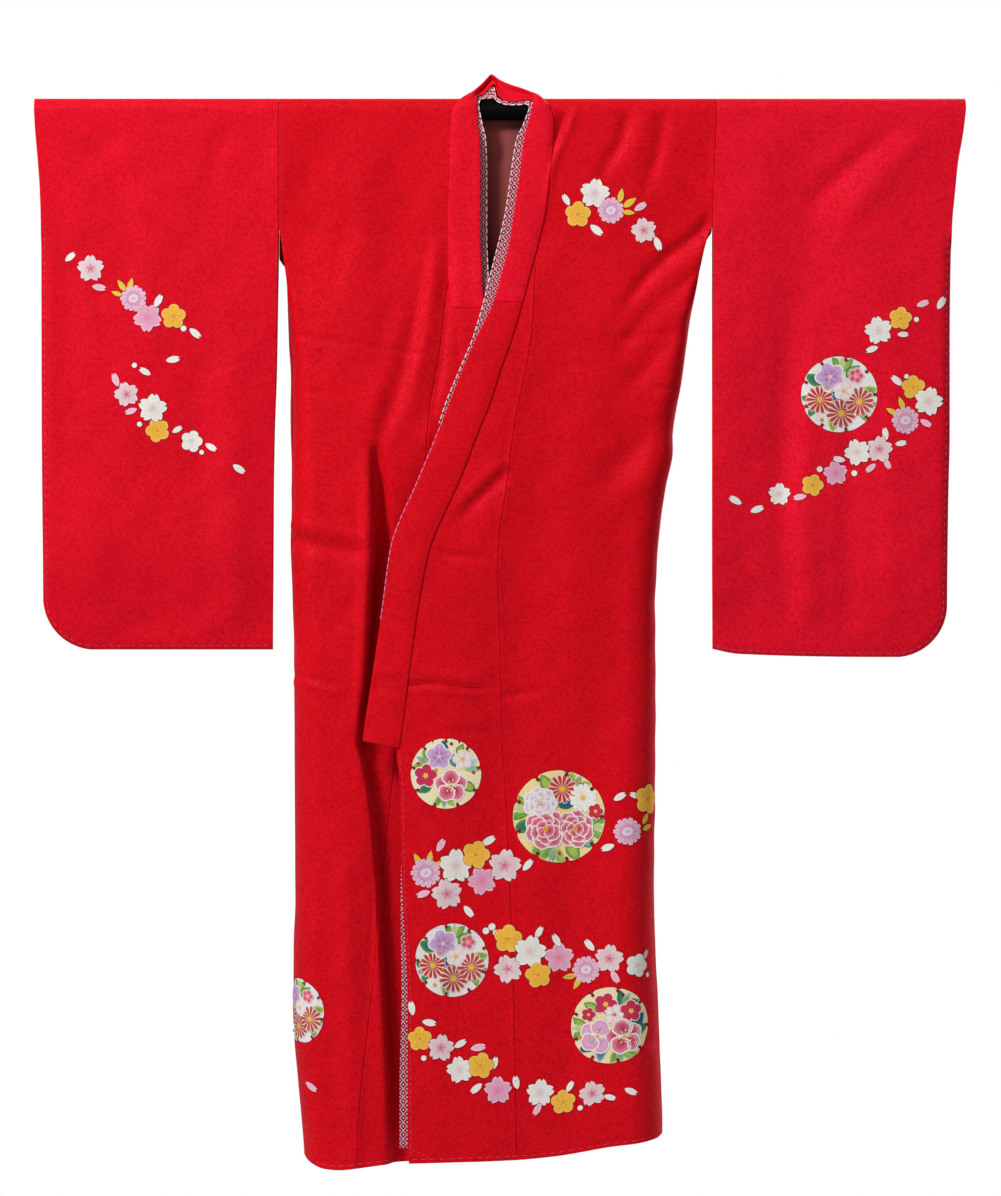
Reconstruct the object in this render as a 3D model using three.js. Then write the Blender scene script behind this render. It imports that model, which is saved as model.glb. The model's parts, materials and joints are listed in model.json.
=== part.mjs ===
// Long-sleeved silk kimono hung on a straight round rod.
// Millimetres, +Z up, the garment's front faces -Y, its left side is at +X.
// The origin is the middle of the rod, on the rod's axis; the rod runs along X.
//
// The cloth pieces are the ones that are cut and sewn: two body panels (each one
// length of cloth over the shoulder, front and back in one), two overlap panels
// (okumi), two sleeves folded over the rod, the collar's two ends, the over-collar
// round the neck, the patterned under-collar, the patterned strip inside the front
// edge and the lining that shows in the neck. Every piece is a wall grown from a
// grid of points on the cloth's mid-surface; pieces stay SEAM_GAP apart.

import * as THREE from 'three';

// ---------------------------------------------------------------- sizes (mm)
const ROD_RADIUS = 14;
const ROD_LENGTH = 1296;
const CLOTH_RADIUS = 15.6;      // mid-surface of the cloth where it turns over the rod
const WALL = 2.0;               // lined silk
const COLLAR_WALL = 2.4;        // folded collar band
const THIN_WALL = 1.2;          // lining and patterned strips
const SEAM_GAP = 0.3;
const COLLAR_OVER = 3.0;        // collar mid-surface in front of the panel's
const STRIP_UNDER = 2.4;        // patterned strip mid-surface behind the collar's
const LINING_UNDER = 2.4;       // neck lining mid-surface in front of the back panel's
const TUCK = 10;                // how far a panel runs in under the collar
const SLEEVE_CORNER = 72;       // round of the sleeve's lower outer corner
const SLEEVE_ROLL = 16;         // width of the roll where a sleeve's layers are sewn
const ARMHOLE_END = { front: -163, back: -206 };
const BACK_LEAVES = { right: -206, left: -166 };   // where a back panel parts from its sleeve
const STEP_IN = 15;             // height over which its edge then draws in behind the front's
const SIDE_SEAM_TOP = -300;     // below it front and back are sewn together
const CUFF_END = { right: -165, left: -172 };
const OVERCOLLAR_END = { right: -277.6, left: -269.3 };
const COLLAR_END = -880;
const HEM = -1464;

// ------------------------------------------------ tables with named columns
const table = (cols, rows) => rows.map(r => Object.fromEntries(cols.map((c, i) => [c, r[i]])));

// sleeve outlines, a row for each height
const SLEEVE = {
  right: table(['z', 'outer', 'inner'], [
    [16.3, -651.9, -309.5], [-24, -649.8, -309.5], [-72, -645.7, -309.5], [-113, -642.9, -309.5],
    [-170, -641.4, -309.6], [-280, -641.2, -311.3], [-364, -641.0, -312.7], [-448, -640.8, -315.5],
    [-531, -640.2, -316.9], [-656, -639.0, -317.5], [-766, -638.7, -317.9]]),
  left: table(['z', 'outer', 'inner'], [
    [16.3, 651.2, 303.0], [-18.5, 647.5, 301.5], [-44, 643.8, 300.2], [-72, 638.7, 299.0],
    [-113, 634.5, 297.4], [-160, 630.3, 296.0], [-240, 628.3, 296.0], [-322, 627.5, 296.0],
    [-448, 627.5, 296.0], [-545, 625.5, 296.0], [-656, 624.1, 296.0], [-766, 623.4, 296.0]]),
};
// lower edge of each sleeve, along x
const SLEEVE_BOTTOM = {
  right: table(['x', 'z'], [[-652, -753.3], [-300, -753.3]]),
  left: table(['x', 'z'], [[290, -751.2], [334, -759.6], [528, -763.8], [652, -763.8]]),
};
// side edge of the body below the armholes
const SIDE = {
  right: table(['z', 'x'], [
    [-163, -309.5], [-176, -307.0], [-213, -302.0], [-239, -298.8], [-280, -296.0], [-322, -293.2],
    [-364, -290.4], [-545, -290.4], [-601, -292.5], [-684, -289.7], [-754, -287.7], [-963, -287.0],
    [-1102, -286.3], [-1172, -288.8], [-1242, -289.0], [-1297, -287.7], [-1367, -282.0],
    [-1409, -278.0], [-1460, -273.0]]),
  left: table(['z', 'x'], [
    [-163, 295.6], [-176, 290.0], [-197, 283.5], [-239, 275.1], [-280, 266.8], [-322, 259.8],
    [-364, 252.8], [-406, 247.3], [-448, 240.3], [-489, 234.7], [-531, 227.8], [-573, 222.2],
    [-615, 218.0], [-656, 215.2], [-698, 213.8], [-1074, 213.8], [-1172, 215.9], [-1242, 219.4],
    [-1325, 222.2], [-1409, 225.0], [-1440, 225.7]]),
};
// half depth of the hanging body and the width of the roll at its sides
const DEPTH = table(['z', 'half', 'roll'], [
  [16, 15.6, 2], [-163, 15.6, 2], [-206, 18, 8], [-300, 27, 16], [-420, 35, 30],
  [-600, 41, 38], [-900, 45, 42], [-1200, 49, 44], [-1500, 52, 46]]);
// seam between the body panel and the overlap panel, and the overlap's free edge
const OKUMI = {
  right: table(['z', 'seam', 'free'], [
    [-190, -64.5, 3.5], [-252, -74.5, 3.5], [-343, -85.7, 3.5], [-425, -99.6, 3.5],
    [-500, -105.2, 3.5], [-684, -126.1, 3.5], [-896, -146.5, 3.5], [-1033, -161.0, -2.1],
    [-1140, -172.0, -23.0], [-1175, -173.4, -29.0], [-1278, -184.6, -35.5], [-1398, -197.1, -49.5],
    [-1476, -199.9, -52.2]]),
  left: table(['z', 'seam', 'free'], [
    [-200, 49.8, -144.2], [-303, 45.3, -144.2], [-372, 34.1, -144.2], [-441, 20.2, -144.2],
    [-517, 10.3, -144.2], [-608, -2.1, -144.2], [-644, -3.5, -144.2], [-716, -1.0, -144.2],
    [-815, 1.5, -144.2], [-896, 3.8, -144.2], [-948, 7.3, -139.0], [-1033, 11.5, -138.3],
    [-1102, 14.3, -135.8], [-1230, 18.8, -129.4], [-1363, 21.2, -128.9], [-1445, 22.7, -128.9],
    [-1466, 23.0, -126.8]]),
};
// collar edges down each front, and the visible edge of the patterned strip
const COLLAR = {
  right: table(['z', 'outer', 'inner', 'strip'], [
    [4, -66.2, -32.4, -31.0], [-12, -69.0, -32.2, -27.9], [-43, -70.0, -28.6, -20.2],
    [-92, -71.2, -27.8, -18.8], [-127, -73.1, -28.0, -18.8], [-183, -73.6, -28.1, -18.8],
    [-212, -73.8, -27.0, -17.6], [-250, -71.6, -24.9, -15.6], [-280, -67.6, -20.2, -11.0],
    [-340, -57.8, -10.5, -2], [-406, -48.1, -2.0, 6], [-545, -31.3, 14.6, 22],
    [-684, -17.4, 29.9, 37], [-824, -3.4, 45.3, 52], [-890, 3.5, 50.8, 57]]),
  left: table(['z', 'outer', 'inner', 'strip'], [
    [4, 68.5, 45.0, 44.0], [-12, 74.1, 40.4, 36.9], [-43, 73.4, 32.4, 22.2], [-92, 68.5, 26.4, 14.2],
    [-140, 63.4, 19.2, 7.4], [-183, 53.6, 12.5, -2.1], [-230, 41.1, 1.2, -14.0],
    [-272, 29.9, -11.2, -24.4], [-319, 16.0, -33.6, -38.3], [-367, -0.7, -54.5, -58.3],
    [-414, -16.0, -72.8, -77.5], [-434, -24.4, -80.3, -84.0], [-517, -57.0, -114.2, -117.0],
    [-602, -95.0, -150.0, -152.5], [-616, -99.6, -153.2, -155.5], [-691, -114.1, -163.5, -165.5],
    [-790, -127.7, -178.4, -180.5], [-853, -136.5, -188.0, -190.0], [-890, -143.0, -192.8, -194.8]]),
};
// the deep fold in the right front: where it lies and how far the cloth drops back
const WEDGE = table(['z', 'x', 'drop'], [
  [-230, -173, 0], [-280, -173, 2], [-440, -173, 3], [-482, -174.8, 6], [-560, -180, 16],
  [-650, -183, 23], [-760, -188.5, 28], [-882, -199.9, 30], [-914, -192.9, 30], [-963, -181.8, 30],
  [-1063, -173.4, 30], [-1140, -170.6, 30], [-1242, -165.1, 30], [-1353, -159.5, 29],
  [-1476, -156.7, 28]]);
// how far the left front stands forward at its free edge
const LIFT = table(['z', 'mm'], [[16, 0], [-10, 0.5], [-60, 2.5], [-150, 5.5], [-240, 8], [-400, 10],
  [-880, 12], [-1500, 12]]);
// front and back hem lines, along x
const HEM_LINE = {
  front: table(['x', 'z'], [[-290, -1440], [-278, -1446], [-270, -1461], [-262, -1468], [-244, -1475.6],
    [-224, -1477], [-196, -1474], [-134, -1467], [-65, -1465.4], [15, -1463], [72, -1458],
    [146, -1445.5], [218, -1433.8], [230, -1425]]),
  back: table(['x', 'z'], [[-290, -1440], [-278, -1446], [-262, -1450], [-180, -1453], [0, -1448],
    [150, -1438], [218, -1433.8], [230, -1425]]),
};
// soft upright folds of the back, which take up the width that the front's overlap frees
const BACK_FOLDS = table(['top', 'low', 'width', 'depth'], [
  [-150, -196, 34, 9], [-62, -84, 40, -8], [36, 44, 36, 10], [120, 150, 34, -7]]);
// over-collar round the neck: outer seam, crest and inner edge, a row for each section
const NECK = table(['ox', 'oy', 'oz', 'mx', 'my', 'mz', 'ix', 'iy', 'iz'], [
  [-62, -16.6, 9, -47, -19.6, 10, -33, -20, 8],
  [-52, -7, 17.6, -42, -9, 21, -33, -13, 16],
  [-46, 6, 17.9, -37, 4, 27, -31, -3, 19.6],
  [-36, 15.7, 10.7, -27, 9, 36, -24, 0, 22.5],
  [-22, 18.7, 1, -19, 11, 43, -16, 1, 30],
  [-12, 18.8, -4, -13, 11, 46.5, -8, 2, 36],
  [0, 18.8, -4, 1, 10, 40, -3, -10, 20],
  [12, 18.8, -4, 14, 9, 35, 9, -14.9, 11.4],
  [26, 18.7, 0, 28, 8, 30.5, 26, -14.9, 11.6],
  [40, 15.7, 10.4, 41, 5, 26, 37, -13.4, 13.8],
  [49, 6, 17.9, 47, 0, 23.4, 44, -15, 12.2],
  [57, -8, 17.2, 51, -11, 19, 45, -17.4, 8.6],
  [67, -18, 6.6, 57, -19.8, 6.4, 45, -19.8, 4.4]]);
// patterned strip round the neck: hidden edge and visible edge
const NECK_STRIP = table(['tx', 'ty', 'tz', 'bx', 'by', 'bz'], [
  [-38, -16.3, 6.5, -30.5, -16.5, 3.5],
  [-37, -11.6, 12.8, -29.5, -13, 10.6],
  [-33, -3, 17.2, -27, -6.5, 14.8],
  [-25.5, 3, 20.4, -20.5, -3.4, 16.2],
  [-17.5, 4, 27, -15, -2.4, 16.6],
  [-9.5, 4, 33, -9, -2.4, 17.2],
  [-5, -7.4, 17.6, -4.2, -11.6, 11.2],
  [8, -11.2, 11.3, 9, -14.6, 6.6],
  [26, -11.3, 11.3, 26, -14.8, 6.4],
  [37.5, -10.4, 12.3, 35.5, -14.2, 7.6],
  [44.5, -12.6, 10, 39.5, -15.3, 5],
  [46.5, -15.6, 4.2, 40.2, -16.4, 0.6]]);

// ------------------------------------------------------------ small helpers
const clamp01 = t => Math.min(1, Math.max(0, t));
const smooth = t => { const c = clamp01(t); return c * c * (3 - 2 * c); };
const mix = (a, b, t) => a + (b - a) * t;

// monotone cubic through a table's column, so outlines curve softly and never overshoot
const curves = new Map();
function column(rows, key, name) {
  const tag = key + '>' + name;
  if (!curves.has(rows)) curves.set(rows, {});
  const store = curves.get(rows);
  if (!store[tag]) {
    const pts = rows.map(r => [r[key], r[name]]).sort((a, b) => a[0] - b[0]);
    const n = pts.length, d = [], m = new Array(n).fill(0);
    for (let i = 0; i < n - 1; i++) d.push((pts[i + 1][1] - pts[i][1]) / (pts[i + 1][0] - pts[i][0]));
    for (let i = 1; i < n - 1; i++) {
      if (d[i - 1] * d[i] > 0) {
        const a = pts[i][0] - pts[i - 1][0], b = pts[i + 1][0] - pts[i][0];
        m[i] = 3 * (a + b) / ((2 * b + a) / d[i - 1] + (b + 2 * a) / d[i]);
      }
    }
    m[0] = d[0]; m[n - 1] = d[n - 2];
    store[tag] = { pts, m };
  }
  return store[tag];
}
function at(rows, key, name, q) {
  const { pts, m } = column(rows, key, name);
  const n = pts.length;
  if (q <= pts[0][0]) return pts[0][1];
  if (q >= pts[n - 1][0]) return pts[n - 1][1];
  let i = 0;
  while (q > pts[i + 1][0]) i++;
  const h = pts[i + 1][0] - pts[i][0], t = (q - pts[i][0]) / h;
  return (2 * t ** 3 - 3 * t ** 2 + 1) * pts[i][1] + (t ** 3 - 2 * t ** 2 + t) * h * m[i]
    + (-2 * t ** 3 + 3 * t ** 2) * pts[i + 1][1] + (t ** 3 - t ** 2) * h * m[i + 1];
}

// --------------------------------------------------- where the cloth hangs
const half = z => at(DEPTH, 'z', 'half', z);
const roll = z => at(DEPTH, 'z', 'roll', z);
const collarX = (side, z, name) => at(COLLAR[side], 'z', name, z);
const okumiX = (side, z, name) => at(OKUMI[side], 'z', name, z);
const lift = z => at(LIFT, 'z', 'mm', z);

// forward stand of each front over the plane of the side rolls
function frontStand(side, x, z) {
  if (side === 'right') {
    return -at(WEDGE, 'z', 'drop', z) * smooth((x - at(WEDGE, 'z', 'x', z) + 8) / 26);
  }
  const edge = z > COLLAR_END ? collarX('left', z, 'outer') : okumiX('left', z, 'free');
  return lift(z) * (1 - smooth((x - edge) / 220));
}
function backStand(x, z) {
  const down = clamp01((z + 330) / (HEM + 330)), grown = smooth(down * 1.6);
  let s = 0;
  for (const f of BACK_FOLDS) {
    const c = mix(f.top, f.low, down);
    s += f.depth * grown * Math.exp(-(((x - c) / f.width) ** 2));
  }
  return s;
}
const sign = { right: 1, left: -1 };   // from a side edge towards the middle

// x of the edge where a body panel meets the sleeve or the other half at the side
function sideEdge(side, face, z) {
  const end = face === 'front' ? ARMHOLE_END.front : BACK_LEAVES[side];
  const seam = at(SLEEVE[side], 'z', 'inner', Math.max(z, end)) + sign[side] * SEAM_GAP / 2;
  if (z >= end) return seam;
  const free = at(SIDE[side], 'z', 'x', z);
  return face === 'front' ? free : mix(seam, free, smooth((end - z) / STEP_IN));
}
// a point of a body panel: t is the distance along the cloth from its side edge
function bodyPoint(side, face, z, t) {
  const s = sign[side], out = face === 'front' ? -1 : 1;
  const d = half(z), r = roll(z);
  const closed = smooth((ARMHOLE_END[face] - z) / (ARMHOLE_END[face] - SIDE_SEAM_TOP));
  const turn = closed * (Math.PI / 2 - 0.5 / d);
  const length = turn * Math.sqrt((r * r + d * d) / 2);
  const x0 = sideEdge(side, face, z);
  if (length > 0 && t < length) {
    const a = turn * (1 - t / length);
    return [x0 + s * r * (Math.sin(turn) - Math.sin(a)), out * d * Math.cos(a), z];
  }
  const flat = t - length, x = x0 + s * (r * Math.sin(turn) + flat);
  const stand = face === 'front' ? frontStand(side, x, z) : backStand(x, z);
  return [x, out * (d + stand * smooth(flat / 50)), z];
}
// distance along the cloth from the side edge to a given x of the flat part
function bodyReach(side, face, z, x) {
  const d = half(z), r = roll(z);
  const closed = smooth((ARMHOLE_END[face] - z) / (ARMHOLE_END[face] - SIDE_SEAM_TOP));
  const turn = closed * (Math.PI / 2 - 0.5 / d);
  const length = turn * Math.sqrt((r * r + d * d) / 2);
  const x0 = sideEdge(side, face, z);
  return length + sign[side] * (x - x0) - r * Math.sin(turn);
}
const hemShift = (face, x, z) => {
  const w = clamp01((z + 1150) / (HEM + 1150));
  return (at(HEM_LINE[face], 'x', 'z', x) - HEM) * w * w;
};

// ------------------------------------------------------------- solid walls
// a closed wall of thickness t about a grid of points, rows by columns; a point may
// carry its own normal, so that two pieces of one surface keep parallel edges
function wall(grid, t) {
  const R = grid.length, C = grid[0].length;
  const P = (i, j) => new THREE.Vector3(...grid[Math.min(R - 1, Math.max(0, i))][Math.min(C - 1, Math.max(0, j))]);
  const top = [], low = [];
  for (let i = 0; i < R; i++) for (let j = 0; j < C; j++) {
    const du = P(i, j + 1).sub(P(i, j - 1)), dv = P(i + 1, j).sub(P(i - 1, j));
    const n = du.cross(dv).normalize(), p = P(i, j), own = grid[i][j].normal;
    if (own) { const way = Math.sign(n.dot(own)) || 1; n.copy(own).multiplyScalar(way); }
    top.push(p.clone().addScaledVector(n, t / 2));
    low.push(p.clone().addScaledVector(n, -t / 2));
  }
  const pos = [...top, ...low], idx = [], N = R * C, id = (i, j) => i * C + j;
  const quad = (a, b, c, d) => { idx.push(a, b, c, a, c, d); };
  for (let i = 0; i < R - 1; i++) for (let j = 0; j < C - 1; j++) {
    quad(id(i, j), id(i, j + 1), id(i + 1, j + 1), id(i + 1, j));
    quad(N + id(i, j), N + id(i + 1, j), N + id(i + 1, j + 1), N + id(i, j + 1));
  }
  for (let i = 0; i < R - 1; i++) {
    quad(id(i, 0), id(i + 1, 0), N + id(i + 1, 0), N + id(i, 0));
    quad(id(i, C - 1), N + id(i, C - 1), N + id(i + 1, C - 1), id(i + 1, C - 1));
  }
  for (let j = 0; j < C - 1; j++) {
    quad(id(0, j), N + id(0, j), N + id(0, j + 1), id(0, j + 1));
    quad(id(R - 1, j), id(R - 1, j + 1), N + id(R - 1, j + 1), N + id(R - 1, j));
  }
  let volume = 0;
  for (let k = 0; k < idx.length; k += 3) {
    volume += pos[idx[k]].dot(pos[idx[k + 1]].clone().cross(pos[idx[k + 2]]));
  }
  if (volume < 0) for (let k = 0; k < idx.length; k += 3) [idx[k + 1], idx[k + 2]] = [idx[k + 2], idx[k + 1]];
  const g = new THREE.BufferGeometry();
  g.setAttribute('position', new THREE.Float32BufferAttribute(pos.flatMap(p => [p.x, p.y, p.z]), 3));
  g.setIndex(idx);
  g.computeVertexNormals();
  return g;
}

// a grid point of a surface given by two parameters, with the surface's own normal
function onSurface(point, a, b) {
  const p = point(a, b), h = 0.5;
  const da = new THREE.Vector3(...point(a + h, b)).sub(new THREE.Vector3(...point(a - h, b)));
  const db = new THREE.Vector3(...point(a, b + h)).sub(new THREE.Vector3(...point(a, b - h)));
  p.normal = da.cross(db).normalize();
  return p;
}

// angles over the rod, front to back, between the level rows
const OVER_ROD = [-67.5, -45, -22.5, 0, 22.5, 45, 67.5].map(a => a * Math.PI / 180);
const BODY_ROWS = [0, -55, -110, -163, -185, -215, -255, -300, -360, -430, -510, -600, -700, -800,
  -900, -1000, -1100, -1200, -1300, -1400, HEM];
const BACK_ROWS = [0, -8, -55, -110, -163, -173, -182, -206, -213.5, -222, -255, -300, -360, -430, -510,
  -600, -700, -800, -900, -1000, -1100, -1200, -1300, -1400, HEM];

// a body panel: front hem, up over the shoulder, down to the back hem
function bodyPanel(side) {
  const s = sign[side];
  const innerFront = z => z > -200 ? collarX(side, z, 'outer') + s * TUCK
    : okumiX(side, z, 'seam') - s * SEAM_GAP / 2;
  const NECK_EDGE = table(['deg', 'right', 'left'], [
    [-90, -56, 60], [-67.5, -54, 58], [-45, -50, 54], [-22.5, -45.5, 50], [0, -41, 46],
    [22.5, -38, 43], [45, -32, 37], [67.5, -24, 28], [90, -12, 13]]);
  const stops = [0, 14, 30, 48, 70];
  const across = (reach, point) => {
    const rest = [0.22, 0.42, 0.62, 0.82, 1].map(f => mix(stops[4], reach, f));
    return [...stops, ...rest].map(point);
  };
  const sheet = face => (t, z) => {
    const p = bodyPoint(side, face, z, t);
    return [p[0], p[1], p[2] + hemShift(face, p[0], z)];
  };
  const rows = [];
  for (const z of [...BODY_ROWS].reverse()) {
    if (z === 0) continue;
    const reach = bodyReach(side, 'front', z, innerFront(z));
    rows.push(across(reach, t => onSurface(sheet('front'), t, z)));
  }
  const levels = [-Math.PI / 2, ...OVER_ROD, Math.PI / 2];
  for (const a of levels) {
    const z = CLOTH_RADIUS * Math.cos(a), y = CLOTH_RADIUS * Math.sin(a);
    const x0 = sideEdge(side, a < 0 ? 'front' : 'back', z);
    const x1 = at(NECK_EDGE, 'deg', side, a * 180 / Math.PI);
    rows.push(across(Math.abs(x1 - x0), t => [x0 + s * t, y, z]));
  }
  for (const z of BACK_ROWS) {
    if (z === 0) continue;
    const reach = bodyReach(side, 'back', z, -s * SEAM_GAP / 2);
    rows.push(across(reach, t => onSurface(sheet('back'), t, z)));
  }
  return wall(rows, WALL);
}

// an overlap panel, from its tip beside the collar to the hem
function okumiPanel(side) {
  const s = sign[side];
  const seam = z => okumiX(side, z, 'seam') + s * SEAM_GAP / 2;
  const edge = z => z > COLLAR_END ? collarX(side, z, 'outer') + s * TUCK
    : okumiX(side, z, 'free');
  const rows = [];
  for (const z of [-217, ...BODY_ROWS.filter(z => z < -217), -870, -888].sort((a, b) => b - a)) {
    const x0 = seam(z), x1 = z === -217 ? x0 + s * 1.2 : edge(z);
    const sheet = (x, q) => [x, -(half(q) + frontStand(side, x, q)), q + hemShift('front', x, q)];
    rows.push([0, 0.25, 0.5, 0.75, 1].map(f => onSurface(sheet, mix(x0, x1, f), z)));
  }
  return wall(rows, WALL);
}

// a sleeve: one cloth folded over the rod, its layers sewn below the cuff and along the bottom
function sleeve(side) {
  const s = sign[side];                        // from the outer edge inwards
  const low = Math.min(...SLEEVE_BOTTOM[side].map(r => r.z));
  const open = CUFF_END[side];
  const levels = [0, -55, -110, -163, -200, -260, -340, -430, -520, -600, -670,
    ...[60, 40, 22, 9, 2.5, 0].map(o => low + o)];
  const place = (face, z, dx) => {
    const up = z - low;
    const arc = up < SLEEVE_CORNER
      ? SLEEVE_CORNER - Math.sqrt(SLEEVE_CORNER ** 2 - (SLEEVE_CORNER - up) ** 2) : 0;
    const inner = at(SLEEVE[side], 'z', 'inner', z) - s * SEAM_GAP / 2;
    const outer = at(SLEEVE[side], 'z', 'outer', z);
    const x0 = outer + s * arc;
    const x = dx > 1e3 ? mix(x0, inner, dx - 1e3) : x0 + s * dx;
    const fromOuter = Math.abs(x - outer);
    let d = Math.min(fromOuter, up);
    if (fromOuter < SLEEVE_CORNER && up < SLEEVE_CORNER) {
      d = SLEEVE_CORNER - Math.hypot(SLEEVE_CORNER - fromOuter, SLEEVE_CORNER - up);
    }
    const round = Math.sqrt(Math.max(0, 1 - (1 - clamp01(d / SLEEVE_ROLL)) ** 2));
    const sewn = smooth((open - z) / 30);
    const deep = mix(CLOTH_RADIUS, 14, smooth((-300 - z) / 400));
    const y = 0.5 + (deep - 0.5) * mix(1, round, sewn);
    const shift = (at(SLEEVE_BOTTOM[side], 'x', 'z', x) - low) * smooth((-560 - z) / 180);
    return [x, face === 'front' ? -y : y, z + shift];
  };
  const across = [0, 2.5, 8, 18, ...[0.2, 0.4, 0.6, 0.8, 1].map(f => 1e3 + f)];
  const rows = [];
  for (const z of [...levels].reverse()) if (z !== 0) rows.push(across.map(dx => place('front', z, dx)));
  for (const a of [-Math.PI / 2, ...OVER_ROD, Math.PI / 2]) {
    const z = CLOTH_RADIUS * Math.cos(a), y = CLOTH_RADIUS * Math.sin(a);
    rows.push(across.map(dx => [place('front', z, dx)[0], y, z]));
  }
  for (const z of levels) if (z !== 0) rows.push(across.map(dx => place('back', z, dx)));
  return wall(rows, WALL);
}

// a point of the collar band: f runs from its outer edge to its inner edge
function collarPoint(side, z, f, over) {
  const x = mix(collarX(side, z, 'outer'), collarX(side, z, 'inner'), f);
  const slant = side === 'left' ? -10 * (1 - f) * smooth((-790 - z) / 90) : 0;
  return [x, -(half(z) + frontStand(side, x, z) + over + 4 * f * (1 - f)), z + slant];
}
const ACROSS_COLLAR = [0, 0.25, 0.5, 0.75, 1];
function collarEnd(side) {
  const levels = [OVERCOLLAR_END[side] - SEAM_GAP, -319, -367, -414, -465, -517, -560, -602, -650,
    -700, -745, -790, -835, COLLAR_END];
  const over = side === 'right' ? COLLAR_OVER + 0.6 : COLLAR_OVER;
  return wall(levels.map(z => ACROSS_COLLAR.map(f => collarPoint(side, z, f, over))), COLLAR_WALL);
}
function overCollar() {
  const levels = [0, -12, -43, -80, -120, -160, -200, -240];
  const branch = side => [...levels, OVERCOLLAR_END[side]].map(z =>
    ACROSS_COLLAR.map(f => collarPoint(side, z, f, COLLAR_OVER)));
  const bend = r => ACROSS_COLLAR.map(f => {           // quadratic through seam, crest and edge
    const a = (1 - f) * (1 - 2 * f), b = 4 * f * (1 - f), c = f * (2 * f - 1);
    return [a * r.ox + b * r.mx + c * r.ix, a * r.oy + b * r.my + c * r.iy, a * r.oz + b * r.mz + c * r.iz];
  });
  return wall([...branch('right').reverse(), ...NECK.map(bend), ...branch('left')], COLLAR_WALL);
}
// the patterned strip that peeps out inside the collar, all round the neck
function underCollar() {
  const branch = (side, levels) => levels.map(z => {
    const s = sign[side];
    const x0 = collarX(side, z, 'inner') - s * 5, x1 = collarX(side, z, 'strip');
    return [0, 0.5, 1].map(f => {
      const x = mix(x0, x1, f);
      return [x, -(half(z) + frontStand(side, x, z) + COLLAR_OVER - STRIP_UNDER), z];
    });
  });
  const neck = NECK_STRIP.map(r => [0, 0.5, 1].map(f =>
    [mix(r.tx, r.bx, f), mix(r.ty, r.by, f), mix(r.tz, r.bz, f)]));
  return wall([...branch('right', [-24, -43, -80, -120, -160, -200, -240, -272]).reverse(), ...neck,
    ...branch('left', [-24, -43, -80, -120, -160, -200, -240, -280, -320, -367, -414, -440])], THIN_WALL);
}
// the patterned strip behind the left front's free edge
function frontStrip() {
  const VISIBLE = table(['z', 'x'], [[-1020, -137.4], [-1102, -138.6], [-1230, -137.2], [-1360, -140], [-1445, -140]]);
  const rows = [-1020, -1100, -1170, -1230, -1300, -1360, -1445].map(z => {
    const x0 = okumiX('left', z, 'free') + 9, x1 = at(VISIBLE, 'z', 'x', z);
    return [0, 0.5, 1].map(f => {
      const x = mix(x0, x1, f);
      return [x, -(half(z) + frontStand('left', x, z) - STRIP_UNDER), z];
    });
  });
  return wall(rows, THIN_WALL);
}
// the lining of the back, as far as it shows through the neck
function neckLining() {
  const rows = [-9, -60, -110, -163, -206, -260, -320].map(z =>
    [-80, -48, -16, 16, 48, 80].map(x => [x, half(z) - LINING_UNDER, z]));
  return wall(rows, THIN_WALL);
}

// ------------------------------------------------------------ the garment
const cloth = (color, roughness) => new THREE.MeshStandardMaterial({ color, roughness, metalness: 0, side: THREE.DoubleSide });
const piece = (name, geometry, material) => {
  const m = new THREE.Mesh(geometry, material);
  m.name = name;
  return m;
};

const kimono = new THREE.Group();
kimono.name = 'kimono_on_rod';

const rod = piece('rod', new THREE.CylinderGeometry(ROD_RADIUS, ROD_RADIUS, ROD_LENGTH, 32),
  new THREE.MeshStandardMaterial({ color: 0x0b0a0a, roughness: 0.35, metalness: 0 }));
rod.rotation.z = Math.PI / 2;
kimono.add(rod);

const garment = new THREE.Group();
garment.name = 'garment';
garment.add(piece('body_right', bodyPanel('right'), cloth(0xc40c1c, 0.75)));
garment.add(piece('body_left', bodyPanel('left'), cloth(0xc60c1e, 0.75)));
garment.add(piece('okumi_right', okumiPanel('right'), cloth(0xb80b1a, 0.75)));
garment.add(piece('okumi_left', okumiPanel('left'), cloth(0xca0e20, 0.75)));
garment.add(piece('sleeve_right', sleeve('right'), cloth(0xd81230, 0.75)));
garment.add(piece('sleeve_left', sleeve('left'), cloth(0xd61230, 0.75)));
garment.add(piece('collar_right', collarEnd('right'), cloth(0xc00c1c, 0.75)));
garment.add(piece('collar_left', collarEnd('left'), cloth(0xcc1022, 0.75)));
garment.add(piece('over_collar', overCollar(), cloth(0xd21230, 0.75)));
garment.add(piece('under_collar', underCollar(), cloth(0xd8a8b4, 0.8)));
garment.add(piece('front_strip', frontStrip(), cloth(0xd8a8b4, 0.8)));
garment.add(piece('neck_lining', neckLining(), cloth(0x5a3230, 0.85)));
kimono.add(garment);

export default kimono;
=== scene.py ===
# Long-sleeved silk kimono hung on a straight black rod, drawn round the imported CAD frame.
# All sizes in the tables are millimetres of the garment itself; meshes are written in metres.
# "plan units" are a square plan grid of 1.393 mm laid over the hung garment's front.
import math
import json

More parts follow.
